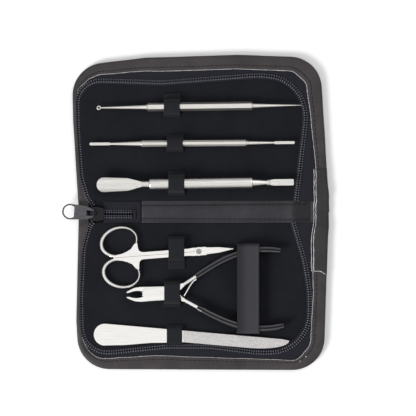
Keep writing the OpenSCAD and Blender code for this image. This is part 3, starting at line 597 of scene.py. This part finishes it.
THIN_ROD = (226, 223, 219), (197, 194, 190), (0.3, 0.45)
steel_finish = {
    "probe": steel("probe_steel", 0.75, *THIN_ROD), "rasp": steel("rasp_steel", 0.4, *THIN_ROD),
    "pusher": steel("pusher_steel", 0.8, (228, 226, 222), (200, 198, 194)),
    "scissors": steel("scissors_steel", 4.4), "scissors_blade": steel("scissors_steel_b", 4.4),
    "nipper": steel("nipper_steel", 2.6), "nipper_jaw": steel("nipper_steel_b", 2.6),
    "file": steel("file_steel", -5),
}
print(len(steel_finish), "steel finishes")


# %% File: polished handle, then bonded grit from where the handle ends
def gritted(made, start_x, grit_colour):
    """Cover everything right of start_x with a dense sparkle of grit, with a slightly ragged start."""
    spot = made.place()
    grains = made.pattern("ShaderNodeTexVoronoi", spot, "Distance", Scale=2600.0)
    wobble = made.clouds(spot, 900.0)
    edge = made.math("MULTIPLY_ADD", wobble, 0.0006, made.parts(made.place())["X"])
    covered = made.math("GREATER_THAN", edge, start_x)
    made.mixed(covered, made.ramp(grains, [(0.15, grit_colour), (0.6, srgb(196, 194, 193))]))
    made.bumped(made.math("MULTIPLY", grains, covered), 0.0002, 0.8)
    made.set("Roughness", made.spread(covered, To_Min=0.28, To_Max=0.55))


GRIT_X = -13.5 * mm
gritted(steel_finish["file"], GRIT_X, srgb(142, 140, 139))
print("grit starts at", GRIT_X / mm, "mm")

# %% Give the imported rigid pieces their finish
def paint(piece, finish):
    piece.data.materials.clear()
    piece.data.materials.append(finish.material)
    return piece


def fitted(piece, finish, body=None, node=None):
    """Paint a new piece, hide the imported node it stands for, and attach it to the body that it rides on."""
    paint(piece, finish)
    if node:
        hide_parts(node)
    if body:
        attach(piece, body)
    return piece


for body, names in frame["record"]["behaviour"]["bodies"].items():
    for name in names:
        if body in steel_finish:
            paint(nodes[name], steel_finish[body])
screw_steel = steel("screw_steel", 30, (168, 166, 163), (140, 138, 136))
for finish, names in (
    (screw_steel, ["scissors_screw", "nipper_pivot"]),
    (grip_vinyl, ["nipper_upper_grip", "nipper_lower_grip"]),
    (slider_black, ["zip_slider", "tail_stop"]),
    (gunmetal, ["zip_pull"]),
    (covered_board, ["lower_board", "upper_board", "spine_board"]),
):
    for name in names:
        paint(nodes[name], finish)
print("painted", len(nodes), "packed pieces")

# %% [markdown]
# ## Outer leather
# The leather is cut larger than the case, rolled round the edge and turned in over the zip tape, where its
# cut edge stays raw. The sheet is a section that starts under the case, rolls up round the edge and runs
# inwards as a flap. It follows the outline from the middle of the spine, round one half and back, and the
# underside is then filled as one face. Cuts are made across it near the fold. The flap was cut by
# hand, so its width is given at places round the edge and eased between them.

# %% Width of the turned-in flap
FLAP = {
    LOWER: [((-85, 0), 7.0), ((-85.2, -8), 7.0), ((-85.3, -11), 6.2), ((-85.4, -15), 4.9),
            ((-85.5, -21), 3.4), ((-85.7, -28), 2.7), ((-86, -45), 2.4), ((-86.6, -74), 2.3),
            ((-86.2, -83), 3.2), ((-84, -95), 4.8), ((-78, -102), 5.6), ((-64, -107), 7.3),
            ((-55, -107), 8.1), ((-31, -107), 9.4), ((-3, -107), 8.5), ((22, -107), 7.8), ((46, -107), 7.2),
            ((60, -107), 6.6), ((76, -101), 9.3), ((82, -84), 9.4), ((83, -55), 8.7), ((83.5, -43), 9.4),
            ((84.6, 0), 9.0)],
    UPPER: [((-85, 0), 7.0), ((-85.4, 6), 7.0), ((-85.7, 10), 5.6), ((-86, 13), 4.3), ((-86.4, 18.5), 3.1),
            ((-86.8, 26), 2.4), ((-89, 72), 2.3), ((-89, 82), 3.4), ((-86, 93), 6.4), ((-78, 99), 7.6),
            ((-56, 102), 8.4), ((-25, 105), 9.6), ((18, 106), 9.6), ((57, 105), 9.7), ((73, 101), 11.4),
            ((80, 86), 10.2), ((81.2, 63), 8.7), ((83, 32), 7.4), ((85, 0), 8.0)],
}
KNOTS = {side: [(along_edge(side, Vector(place) * mm), width * mm) for place, width in FLAP[side]]
         for side in FLAP}


def ease(value, low, high):
    t = min(1.0, max(0.0, (value - low) / (high - low)))
    return t * t * (3 - 2 * t)


def flap_width(side, s):
    knots = KNOTS[side]
    for (s0, w0), (s1, w1) in zip(knots, knots[1:]):
        if s <= s1:
            return w0 + (w1 - w0) * ease(s, s0, s1)
    return knots[-1][1]


print("flap at the middle of the far edges:", [round(flap_width(k, along_edge(k, (0, k * HALF_D))) / mm, 1)
                                               for k in (UPPER, LOWER)], "mm")


# %% The rolled rim of one half
UNDER_REACH = 11 * mm           # how far in under the case the section starts


def rim_height(y):
    """The rim is lower over the spine, where it must fold."""
    rise = ease(abs(y), FOLD_Y, FOLD_Y + 2.2 * mm)
    return VELVET_Z + (RIM_Z - VELVET_Z) * rise


def rolled(radius, degrees, base, way, out=0.0):
    """Part of a rolled edge as (inset, height), from base upwards or, with way -1, downwards."""
    return [(radius * (1 - math.sin(a)) - out, base + way * radius * (1 - math.cos(a)))
            for a in map(math.radians, degrees)]


def rim_section(side, point, inward, s):
    width = max(flap_width(side, s), ROLL + 0.6 * mm)
    lip = 1 - ease(width, 2.5 * mm, 4 * mm)        # on the left edge the leather laps over the teeth
    sag = 0.12 * mm * waver(*point, size=11)
    top = rim_height(point.y) + sag * (1 - 0.6 * lip) + 0.22 * mm * lip     # below a drawn instrument
    soft = 0.25 * mm * waver(*point, size=17, seed=2)
    line = [(UNDER_REACH, 0), (ROLL, 0), *rolled(ROLL, (22.5, 45, 67.5, 90), 0, 1), (-soft, top * 0.55),
            *rolled(ROLL, (90, 67.5, 45, 22.5, 0), top, -1)]
    for share, drop in ((0.25, -0.06), (0.5, 0.0), (0.65, 0.22), (0.78, 0.1), (0.95, 0.15), (1.0, 0.3)):
        line.append((ROLL + (width - ROLL) * share, top - drop * (1 - lip) * mm - 0.1 * lip * share * mm))
    return beside(point, inward, line)


def leather_sheet(side):
    walk = stations(outline[side], 1.3 * mm, -side)
    bm, rows = sweep([rim_section(side, point, inward, s) for point, _, inward, s in walk])
    under = [row[0] for row in rows]
    edges = [bm.edges.get(pair) for pair in zip(under, under[1:])]
    edges.append(bm.edges.new((under[-1], under[0])))
    bmesh.ops.contextual_create(bm, geom=edges)
    for k in range(-6, 7):
        cut(bm, (0, side * (FOLD_Y + k * 0.5 * mm), 0), (0, 1, 0))
    piece = new_piece(NAME[side] + "_leather", outward(bm))
    thicken(piece, LEATHER)
    return across_fold(fitted(piece, rim_leather, node=NAME[side] + "_cover"))


for side in HALVES:
    print(leather_sheet(side).name, "has", len(edge_walk[side]), "stations")
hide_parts("spine_cover")


# %% [markdown]
# ### Cut edge and stitching
# The flap's cut edge is pale and a little frayed, and a row of black stitches runs beside it. Both could be
# drawn in the leather's finish, but the edge and the thread stand proud and catch light, so they are meshes:
# a thin swept strip whose width wavers, and one small bead of thread repeated along the edge.

# %% The raw edge of the flap, and the stitching beside it
def cut_edge(side, step, least):
    """Stations along the outline, with the flap's width, where the flap is wide enough to show its edge."""
    for point, along, inward, s in stations(outline[side], step, -side):
        width = flap_width(side, s)
        folded = abs(point.y) < FOLD_Y + 3 * mm
        by_slider = point.x < 0 and abs(point.y) < 40 * mm
        if width >= least and not folded and not by_slider:
            yield point, along, inward, s, width


def raw_edge_line(side):
    """A thin frayed line along the cut edge of the turned-in leather."""
    sections = []
    for point, _, inward, s, width in cut_edge(side, 0.8 * mm, 3.3 * mm):
        fray = 0.12 * mm * waver(s, size=1.6, seed=side + 4)
        wide = (0.34 + 0.16 * waver(s, size=2.3, seed=side + 7)) * mm
        top = RIM_Z - 0.28 * mm + 0.12 * mm * waver(*point, size=11)
        low = top - 0.65 * mm
        line = [(-wide, top), (0.05 * mm, top + 0.05 * mm), (wide * 0.5, top - 0.1 * mm), (wide * 0.6, low),
                (-wide, low)]
        sections.append(beside(point + inward * (width + fray), inward, line))
    fitted(tube(NAME[side] + "_raw_edge", sections), raw_edge, BODY[side])


def rim_stitches(side):
    """Black stitches through the flap, outside its cut edge."""
    places = []
    for point, along, inward, _, width in cut_edge(side, 3.1 * mm, 4 * mm):
        spot = point + inward * (ROLL + (width - ROLL) * 0.68)
        places.append((Vector((*spot, RIM_Z - 0.14 * mm)), math.atan2(along.y, along.x)))
    piece = repeated(NAME[side] + "_rim_stitches", bead(2.2 * mm, 0.5 * mm, 0.46 * mm), places)
    fitted(piece, dark_thread, BODY[side])
    return len(places)


for side in HALVES:
    raw_edge_line(side)
    print(rim_stitches(side), "stitches round the", NAME[side], "half")
thread_ends = repeated("thread_ends", bead(1.5 * mm, 0.7 * mm, 0.5 * mm),
                       [(Vector((69.2, -98.3, 4.5)) * mm, 0.6), (Vector((65.1, -101.5, 4.5)) * mm, 1.1)])
fitted(thread_ends, raw_edge, "case_lower")

# %% [markdown]
# ## Velvet lining
# The lining is one soft sheet over a thin pad. A grid is laid over the half, cut to the zip's path, and each
# of its points is lifted to the height of what lies under it: the pad inside the zip, the flat spine, and
# the hollow that the slider runs in. Gentle noise gives the slack of real cloth.

# %% Lining of one half
TAIL_Y = -1.6 * mm              # middle of the joined zip, which the slider's hollow follows
HOLLOW = (-78.8 * mm, -46 * mm, 5.5 * mm)       # its left end, right end and half width
HOLLOW_Z = 2.24 * mm


def lining_height(x, y, depth_inside):
    pad = VELVET_Z - 0.02 * mm + 0.05 * mm * waver(x, y, size=16) \
        + 0.03 * mm * waver(x, y, size=5, seed=3)
    pad -= 0.75 * mm * (1 - ease(depth_inside, 0.8 * mm, 3.4 * mm))
    spine = TAPE_LOW + 0.05 * mm
    height = spine + (pad - spine) * ease(abs(y), FOLD_Y - 0.7 * mm, FOLD_Y + 0.6 * mm)
    left, right, half = HOLLOW
    in_hollow = (1 - ease(abs(y - TAIL_Y), half - 0.6 * mm, half)) * ease(x, left, left + 0.8 * mm) \
        * (1 - ease(x, right - 0.8 * mm, right))
    return height - (height - HOLLOW_Z) * in_hollow


def distance_inside(x, y, path, inner):
    """How far inside a line a point lies; negative outside."""
    spot = Vector((x, y))
    best, sign = 1e9, 1
    for a, b in zip(path, path[1:]):
        edge = b - a
        t = min(1.0, max(0.0, (spot - a).dot(edge) / max(edge.length_squared, 1e-12)))
        away = spot - (a + edge * t)
        if away.length < best:
            best, sign = away.length, math.copysign(1, edge.x * away.y - edge.y * away.x)
    return best * sign * inner


def lining(side):
    bm = bmesh.new()
    bmesh.ops.create_grid(bm, x_segments=118, y_segments=80, size=0.5)
    inside = {}
    for vert in bm.verts:
        x, y = vert.co.x * (2 * HALF_W - 2.6 * mm), side * (HALF_D - 8 * mm) * (vert.co.y + 0.5)
        inside[vert] = distance_inside(x, y, zip_line[side], -side) if abs(y) > FOLD_Y else 9 * mm
        vert.co = (x, y, lining_height(x, y, inside[vert]))
    bmesh.ops.delete(bm, geom=[v for v in bm.verts if inside[v] < -2.4 * mm], context="VERTS")
    piece = new_piece(NAME[side] + "_velvet", facing_up(bm))
    thicken(piece, VELVET)
    fitted(piece, lining_velvet, node=NAME[side] + "_lining")
    return across_fold(piece)


for side in HALVES:
    print(lining(side).name, "laid")

# %% [markdown]
# ## Zip
# The tape runs from under the flap to the teeth. Its width changes along the way, because the zip is sewn
# nearer to the edge on the left, so each station measures how far it is to the flap. The teeth are a
# nylon coil: a flattened loop every 1.65 mm, thicker at its head, held down by a line of thread.

# %% Tape of one half
def reach_out(point, outwards, side):
    """Distance outwards from the zip to the outline: 4 mm if none is met, at most 8 mm by the slider."""
    met = []
    for a, b in zip(outline[side], outline[side][1:]):
        edge, away = b - a, a - point
        crossing = outwards.x * edge.y - outwards.y * edge.x
        if abs(crossing) < 1e-12:
            continue
        t = (away.x * edge.y - away.y * edge.x) / crossing
        u = (away.x * outwards.y - away.y * outwards.x) / crossing
        if t > 0 and 0 <= u <= 1:
            met.append(t)
    found = min(met, default=4 * mm)
    return min(found, 8 * mm) if point.x < 0 and abs(point.y) < 60 * mm else found


COIL_HALF = 1.4 * mm


def tape(side):
    sections = []
    for point, _, inward, s in stations(zip_line[side], 1.6 * mm, -side):
        reach = reach_out(point, -inward, side)
        flap = flap_width(side, along_edge(side, point))
        room = max(COIL_HALF + 0.1 * mm, reach - max(ROLL, flap - 3 * mm))
        wave = 0.16 * mm * waver(s, size=14, seed=side + 1)
        row = []
        for k in range(9):
            share = k / 8
            inset = COIL_HALF + 1.0 * mm - (room + COIL_HALF + 1.0 * mm) * share
            bulge = math.sin(math.pi * share) * (0.1 * mm + wave) if share > 0.3 else 0.0
            place = point + inward * inset
            place.x = max(place.x, -HALF_W + 1.2 * mm) if abs(place.y) < 30 * mm else place.x
            row.append(Vector((*place, TAPE_TOP - 0.03 * mm + bulge * 0.6)))
        sections.append(row)
    piece = sheet(NAME[side] + "_tape", sections, TAPE)
    return across_fold(fitted(piece, zip_tape, node=NAME[side] + "_zip_tape"))


for side in HALVES:
    print(tape(side).name, "sewn in")


# %% Teeth of one half
TOOTH_STEP = 1.65 * mm
SEWN_HIGH = 0.82 * mm           # how high over the tape the sewing thread lies


def tooth(half):
    """One loop of the coil across the tape: an arch whose head, towards +X, is thicker."""
    arch = [(-1.02, 0.12, 0.12), (-0.86, 0.52, 0.36), (-0.3, 0.5, 0.27), (0.3, 0.5, 0.27), (0.84, 0.52, 0.4),
            (1.02, 0.3, 0.16)]
    return small_mesh([[Vector((half * x, radius * mm * math.cos(a), z * mm + radius * mm * math.sin(a)))
                        for a in (math.tau * k / 6 for k in range(6))] for x, z, radius in arch])


def coil(side):
    loops, threads = [], []
    for point, along, inward, _ in stations(zip_line[side], TOOTH_STEP, -side):
        loops.append((Vector((*point, TAPE_TOP)), math.atan2(inward.y, inward.x)))
        threads.append((Vector((*point, TAPE_TOP + SEWN_HIGH)), math.atan2(along.y, along.x)))
    piece = repeated(NAME[side] + "_coil", tooth(COIL_HALF), loops)
    across_fold(fitted(piece, coil_nylon, node=NAME[side] + "_zip_teeth"))
    sewn = repeated(NAME[side] + "_coil_thread", bead(1.6 * mm, 0.9 * mm, 0.3 * mm), threads)
    across_fold(fitted(sewn, dark_thread))
    return len(loops)


for side in HALVES:
    print(coil(side), "teeth on the", NAME[side], "half")

# %% [markdown]
# ## Spine
# The padded strip is a crowned band of leather: a flat edge on each side, a stitched groove, and a soft
# crown between. Its section is closed and swept to the right in small steps, so that the two grooves can
# spread and the creases deepen towards its right-hand end, where the wrap presses it flat.

# %% Padded strip
STRIP_X0, STRIP_X1 = (corner.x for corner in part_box("spine_strip"))
STRIP_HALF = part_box("spine_strip")[1].y
STITCH_STEP = 3.4 * mm


def groove_at(x):
    return (4.4 + 1.0 * (x - STRIP_X0) / (STRIP_X1 - STRIP_X0)) * mm


def strip_section(x):
    half, groove_y = STRIP_HALF, groove_at(x)
    creased = ease(x, 50 * mm, 62 * mm)
    pressed = ease(x, 59.5 * mm, 62.5 * mm)
    ridge = 0.22 * mm * math.exp(-((x - 58.8 * mm) / (1.3 * mm)) ** 2)
    ends = min(ease(x, STRIP_X0, STRIP_X0 + 1.2 * mm), 1 - 0.7 * ease(x, STRIP_X1 - 1.2 * mm, STRIP_X1))
    line = [(-half, TAPE_LOW)]
    for y in evenly(-half, half, 40):
        if abs(y) > groove_y:
            rise = 0.5 * mm + 0.12 * mm * ease(abs(y), groove_y + 0.8 * mm, half - 0.5 * mm)
        else:
            rise = 0.45 * mm + (0.85 * mm * (1 - 0.55 * pressed) + ridge) * (1 - (y / groove_y) ** 2) ** 0.6
        groove = math.exp(-((abs(y) - groove_y) / (0.42 * mm)) ** 2)
        fold = creased * (0.3 * mm * waver(x, y * 0.45, size=4.2, seed=5)
                          + 0.14 * mm * waver(x, y, size=1.9, seed=6))
        slack = 0.09 * mm * waver(x * 0.3, y, size=3.4, seed=8)
        rise = rise - 0.32 * mm * groove + (fold + slack) * (1 - groove)
        line.append((y, TAPE_LOW + max(0.12 * mm, rise) * (0.35 + 0.65 * ends)))
    line.append((half, TAPE_LOW))
    return [Vector((x, y, z)) for y, z in line]


def strip():
    piece = tube("spine_padding", [strip_section(x) for x in evenly(STRIP_X0, STRIP_X1, 150)])
    fitted(piece, strip_leather, "spine", "spine_strip")
    places = []
    for row in (-1, 1):
        x = STRIP_X0 + 2 * mm
        while x < STRIP_X1 - 2 * mm:
            places.append((Vector((x, row * groove_at(x), TAPE_LOW + 0.32 * mm)), 0.0))
            x += STITCH_STEP
    thread = repeated("spine_stitches", bead(2.0 * mm, 0.62 * mm, 0.44 * mm), places)
    fitted(thread, dark_thread, "spine")
    return len(places)


print(strip(), "stitches along the strip")


# %% [markdown]
# ### Ends of the spine
# At the right a plain piece of leather runs from the strip to under the wrap, creased where it is sewn. At
# the left lies the joined end of the zip: two tapes with a slit between them, in which the slider's post
# runs, both rows of teeth side by side, and a hem that holds the tapes down. They don't bend, so they are
# swept straight and ride on the spine.

# %% Inner end of the spine, under the wrap
def spine_end():
    low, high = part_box("spine_end_patch")
    sections = []
    for x in evenly(low.x - 0.6 * mm, high.x - 0.6 * mm, 20):
        line = [(low.y, TAPE_LOW)]
        for y in evenly(low.y, high.y, 16):
            rise = 0.62 * mm + 0.16 * mm * waver(x, y, size=2.6, seed=11)
            rise -= 0.25 * mm * math.exp(-((abs(y) - 6 * mm) / (0.4 * mm)) ** 2)
            line.append((y, TAPE_LOW + max(0.1 * mm, rise)))
        line.append((high.y, TAPE_LOW))
        sections.append([Vector((x, y, z)) for y, z in line])
    return fitted(tube("spine_end_leather", sections), end_leather, "spine", "spine_end_patch")


print(spine_end().name, "laid")


# %% Zip tail: tapes, joined teeth and hem
def tail():
    low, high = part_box("tail_tape")
    slit = 0.75 * mm            # half of it
    for name, y0, y1 in (("tail_tape_lower", low.y, TAIL_Y - slit),
                         ("tail_tape_upper", TAIL_Y + slit, high.y)):
        sections = [[Vector((x, y, TAPE_TOP - 0.03 * mm + 0.05 * mm * waver(x, j * mm, size=6, seed=9)))
                     for j, y in enumerate(evenly(y0, y1, 8))] for x in evenly(low.x, high.x, 27)]
        fitted(sheet(name, sections, TAPE), zip_tape, "spine")
    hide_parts("tail_tape")
    loops, threads = [], []
    x = low.x + 0.6 * mm
    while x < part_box("tail_stop")[0].x - 0.3 * mm:
        for side in (-1, 1):
            loops.append((Vector((x, TAIL_Y + side * 1.72 * mm, TAPE_TOP)), -side * math.pi / 2))
            threads.append((Vector((x, TAIL_Y + side * 1.7 * mm, TAPE_TOP + SEWN_HIGH)), 0.0))
        x += TOOTH_STEP
    fitted(repeated("tail_coil", tooth(1.08 * mm), loops), coil_nylon, "spine", "tail_teeth")
    sewn = repeated("tail_coil_thread", bead(1.25 * mm, 0.7 * mm, 0.26 * mm), threads)
    fitted(sewn, dark_thread, "spine")
    return len(loops)


def tail_hem():
    low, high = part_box("tail_hem")
    sections = []
    for y in evenly(low.y, high.y, 29):
        wave = 0.08 * mm * waver(y, size=3, seed=12)
        line = [(low.x, low.z - 0.05 * mm), (low.x, high.z - 0.25 * mm), (low.x + 0.5 * mm, high.z + wave),
                (high.x - 0.5 * mm, high.z + wave), (high.x, high.z - 0.2 * mm), (high.x, low.z - 0.05 * mm)]
        sections.append([Vector((x, y, z)) for x, z in line])
    return fitted(tube("tail_hem_tape", sections), zip_tape, "spine", "tail_hem")


print(tail(), "joined teeth, then", tail_hem().name)

# %% [markdown]
# ## Wrap at the right-hand end
# A second piece of leather is folded over the right-hand edge, from above the spine to below it. Its inner
# edge is ragged and pale, its lower end is cut and curls up, and it bulges where the case folds. It is
# split at the middle of the spine, one piece for each half.

# %% Wrap
WRAP_TOP, WRAP_END = 29.7 * mm, -42.7 * mm


def wrap_inner(y):
    return (76.1 - 1.7 * ease(-y, 2 * mm, 22 * mm)) * mm


def wrap_section(point, inward):
    y = point.y
    bulge = 1.1 * mm * math.exp(-((y - 12 * mm) / (5 * mm)) ** 2) \
        + 1.0 * mm * math.exp(-((y + 10 * mm) / (5 * mm)) ** 2)
    out = 0.15 * mm + bulge * 0.35
    near_end = 1 - ease(y, WRAP_END, WRAP_END + 9 * mm)
    curl = 0.5 * mm * (1 - ease(y, WRAP_END, WRAP_END + 2.2 * mm))
    top = rim_height(y) + 0.4 * mm + bulge * 0.25 + curl + 0.1 * mm * waver(*point, size=7, seed=13)
    inner_x = wrap_inner(y) + 0.35 * mm * waver(y, size=2.4, seed=14)
    width = (inner_x - point.x) / inward.x
    roll = ROLL + 0.3 * mm
    line = [(4 * mm, 0.25 * mm), (roll, 0.15 * mm), *rolled(roll, (30, 60, 90), 0.15 * mm, 1, out),
            *rolled(roll, (90, 67.5, 45, 22.5, 0), top, -1, out)]
    rim = roll - out
    line += [(rim + (width - rim) * k / 9, top - 0.1 * mm * math.sin(k / 9 * math.pi)
              - 0.35 * mm * ease(k, 6, 9)) for k in range(1, 10)]
    return [place + Vector((0, 2.2 * mm * near_end * ease(inset, 0, 5 * mm), 0))
            for place, (inset, _) in zip(beside(point, inward, line), line)]


def wrap(side):
    walk = [row for row in stations(outline[side], 0.7 * mm, -side)
            if row[0].x > 0 and (row[0].y < WRAP_TOP if side == UPPER else row[0].y > WRAP_END)]
    bm, rows = sweep([wrap_section(point, inward) for point, _, inward, _ in walk])
    edge = [row[-1].co.copy() for row in rows]
    cut_end = [vert.co.copy() for vert in rows[0]] if side == LOWER else []
    piece = new_piece(NAME[side] + "_wrap", outward(bm))
    thicken(piece, WRAP_LEATHER)
    across_fold(fitted(piece, wrap_leather, node=NAME[side] + "_end_patch"))
    return edge, cut_end


def frayed(name, line, width, height, seed):
    """A ragged strip along a line of points."""
    sections = []
    for k, spot in enumerate(line):
        along = (line[min(k + 1, len(line) - 1)] - line[max(k - 1, 0)]).normalized()
        across = along.cross(Vector((0, 0, 1))).normalized()
        wide = width * (1 + 0.5 * waver(k * 0.7 * mm, size=2, seed=seed))
        spot = spot + across * 0.25 * mm * waver(k * 0.7 * mm, size=3.1, seed=seed + 1)
        sections.append([spot + across * wide * c + Vector((0, 0, height * s))
                         for c, s in ((-0.5, -0.5), (-0.4, 0.4), (0.1, 0.5), (0.5, 0.2), (0.5, -0.5))])
    return fitted(tube(name, sections), raw_edge)


for side in HALVES:
    edge, cut_end = wrap(side)
    for name, shift, width, height, seed in (("_wrap_fray", (-0.1, 0, 0.05), 0.55, 0.45, 21),
                                             ("_wrap_backing", (-1.5, 0, -0.1), 0.5, 0.35, 27)):
        line = [place + Vector(shift) * mm for place in edge]
        across_fold(frayed(NAME[side] + name, line, width * mm, height * mm, seed))
    if cut_end:
        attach(frayed("wrap_cut_end", cut_end[8:], 0.5 * mm, 0.4 * mm, 33), "case_lower")
    print(NAME[side], "wrap has", len(edge), "steps along its edge")

# %% [markdown]
# ## Elastic loops
# Each loop is a ribbon laid along a line: flat and sewn down at one end, up and over the instrument, and
# flat again. The line is given in the plane across the instrument and rounded at its corners. How wide and
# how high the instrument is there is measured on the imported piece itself, cut at the ribbon's two edges.
# The loop over the scissors is measured with them shut and with them open, so that they can open inside it.

# %% Measure what a ribbon runs over
def opened(hinge):
    """The turn that takes a hinge from rest to its far limit."""
    pivot = Matrix.Translation(joint[hinge]["pos_m"])
    turn = Matrix.Rotation(math.radians(joint[hinge]["range_deg"][1]), 4, Vector(joint[hinge]["axis"]))
    return pivot @ turn @ pivot.inverted()


def over(held, x0, x1):
    """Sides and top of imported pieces, each with its turn, between two places along the case."""
    found = []
    for name, turn in held:
        bm = bmesh.new()
        bm.from_mesh(nodes[name].data)
        bmesh.ops.transform(bm, verts=bm.verts, matrix=turn)
        cut(bm, (x0, 0, 0), (-1, 0, 0), clear=True)
        cut(bm, (x1, 0, 0), (1, 0, 0), clear=True)
        found += [vert.co.copy() for vert in bm.verts]
        bm.free()
    return min(p.y for p in found), max(p.y for p in found), max(p.z for p in found)


STILL = Matrix()
GRIPS = [("nipper_upper_grip", STILL), ("nipper_lower_grip", STILL)]
print("nipper grips under the wide band:",
      [round(v / mm, 1) for v in over(GRIPS, 22 * mm, 37.6 * mm)])


# %% Ribbon over an instrument
def ribbon(name, node, body, instruments, finish, slope=1.2 * mm, corner=2.0 * mm):
    low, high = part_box(node)
    side_low, side_high, top = over(instruments, low.x, high.x)
    skin = 0.75 * mm
    lift = VELVET_Z + skin
    side_gap = 0.45 * mm + skin
    crest = top + 0.35 * mm + skin
    corners = [(low.y, lift), (max(low.y + 0.1 * mm, side_low - side_gap - slope), lift),
               (side_low - side_gap * 0.6, crest), (side_high + side_gap * 0.6, crest),
               (min(high.y - 0.1 * mm, side_high + side_gap + slope), lift), (high.y, lift)]
    line = rounded(corners, [corner * 0.5, corner, corner, corner * 0.5], 5)
    path = stations(line, 0.5 * mm, 1)
    sections = []
    for share in evenly(0, 1, 16):
        x = low.x + (high.x - low.x) * share
        row = []
        for point, _, _, s in path:
            drawn = 0.35 * mm * (point.y - lift) / max(top - lift, 0.5 * mm) * (1 - 2 * share)
            crown = 0.12 * mm * math.sin(math.pi * share)
            uneven = 0.08 * mm * waver(s, size=3, seed=41)
            row.append(Vector((x + drawn + uneven, point.x, point.y + crown)))
        sections.append(row)
    fitted(sheet(name, sections, skin - 0.05 * mm), finish, body, node)
    return round((crest - lift) / mm, 1)


LOOPS = {
    "probe": ("case_upper", [("probe_handle", STILL)]),
    "rasp": ("case_upper", [("rasp_handle", STILL)]),
    "pusher": ("case_upper", [("pusher_handle", STILL)]),
    "scissors": ("case_lower", [("scissors_fixed_half", STILL), ("scissors_moving_half", STILL),
                                ("scissors_moving_half", opened("scissors_pivot"))]),
    "nipper": ("case_lower", [("nipper_fixed_half", STILL), ("nipper_moving_half", STILL)]),
    "file": ("case_lower", [("nail_file", STILL)]),
}
for name, (body, held) in LOOPS.items():
    print(name, "loop rises", ribbon(name + "_elastic", name + "_loop", body, held, loop_elastic), "mm")
print("wide band rises", ribbon("nipper_handle_elastic", "nipper_band", "case_lower", GRIPS, band_elastic,
                                slope=0.1 * mm, corner=1.6 * mm), "mm")

# %% [markdown]
# ## Floor, light and camera
# The photograph is taken from straight above, from far away, on white, under soft light that comes from the
# lower left. The camera has a long lens, and the frame covers 283 mm. Lamps and sky together give a level at
# which a white surface just renders white. The white background is painted on the floor for the camera and
# for mirrors only, so it puts no light on the object, and the floor keeps the object's shadow.

# %% Floor
bm = bmesh.new()
bmesh.ops.create_grid(bm, x_segments=1, y_segments=1, size=3.0)
floor = new_piece("floor", bm)
floor.location.z = -0.0002
white = Finish("white_floor", srgb(252, 252, 253), 0.95)
white.set("Specular IOR Level", 0.0)
ray = white.node("ShaderNodeLightPath").outputs
seen = white.math("MAXIMUM", ray["Is Camera Ray"],
                  white.math("MAXIMUM", ray["Is Glossy Ray"], ray["Is Transmission Ray"]))
white.set("Emission Color", (1, 1, 1, 1))
FLOOR_GLOW = 0.16
white.set("Emission Strength", white.math("MULTIPLY", seen, FLOOR_GLOW))
paint(floor, white)
print("floor laid")

# %% Lamps
def softbox(name, place, size, watts):
    """A round lamp aimed at the case; gives its share of the light on a white surface."""
    lamp = bpy.data.lights.new(name, "AREA")
    lamp.shape = "DISK"
    lamp.size = size
    lamp.energy = watts
    placed(name, lamp, place).rotation_euler = (-Vector(place)).to_track_quat("-Z", "Y").to_euler()
    distance = Vector(place).length
    return watts / (math.pi ** 2 * distance ** 2) * place[2] / distance


lamp_share = (softbox("key_softbox", (-1.05, -0.82, 0.98), 0.7, 20)
              + softbox("fill_softbox", (0.8, 0.9, 1.5), 1.2, 6))
print("the lamps alone render a white surface at", round(lamp_share, 2))

# %% Sky: one level for diffuse light, and a gradient for what mirrors see
SKY = 0.45
world = bpy.data.worlds.new("studio")
bpy.context.scene.world = world
world.use_nodes = True
sky = Nodes(world.node_tree)
background = sky.tree.nodes["Background"].inputs
background["Color"].default_value = (1, 1, 1, 1)
ray = sky.node("ShaderNodeLightPath").outputs
rise = sky.parts(sky.node("ShaderNodeTexCoord").outputs["Generated"])["Z"]
brighter = sky.spread(rise, From_Max=0.85, To_Min=0.35 - SKY, To_Max=1.0 - SKY)
mirrored = sky.math("MAXIMUM", ray["Is Glossy Ray"], ray["Is Transmission Ray"])
level = sky.math("MULTIPLY_ADD", mirrored, brighter, SKY)
sky.feed(background["Strength"], sky.math("MULTIPLY_ADD", ray["Is Camera Ray"], 1.0 - SKY, level))
print("sky and lamps together render a white surface at", round(SKY + lamp_share, 2))

# %% Camera
FRAME_WIDTH = 282.9 * mm
CAMERA_HEIGHT = 1.6
camera_data = bpy.data.cameras.new("camera")
camera_data.sensor_width = 36
camera_data.lens = 36 * CAMERA_HEIGHT / FRAME_WIDTH
bpy.context.scene.camera = placed("camera", camera_data, (2.7 * mm, 2.5 * mm, CAMERA_HEIGHT))
bpy.context.scene.view_settings.view_transform = "Standard"
print("the frame covers", FRAME_WIDTH / mm, "mm")
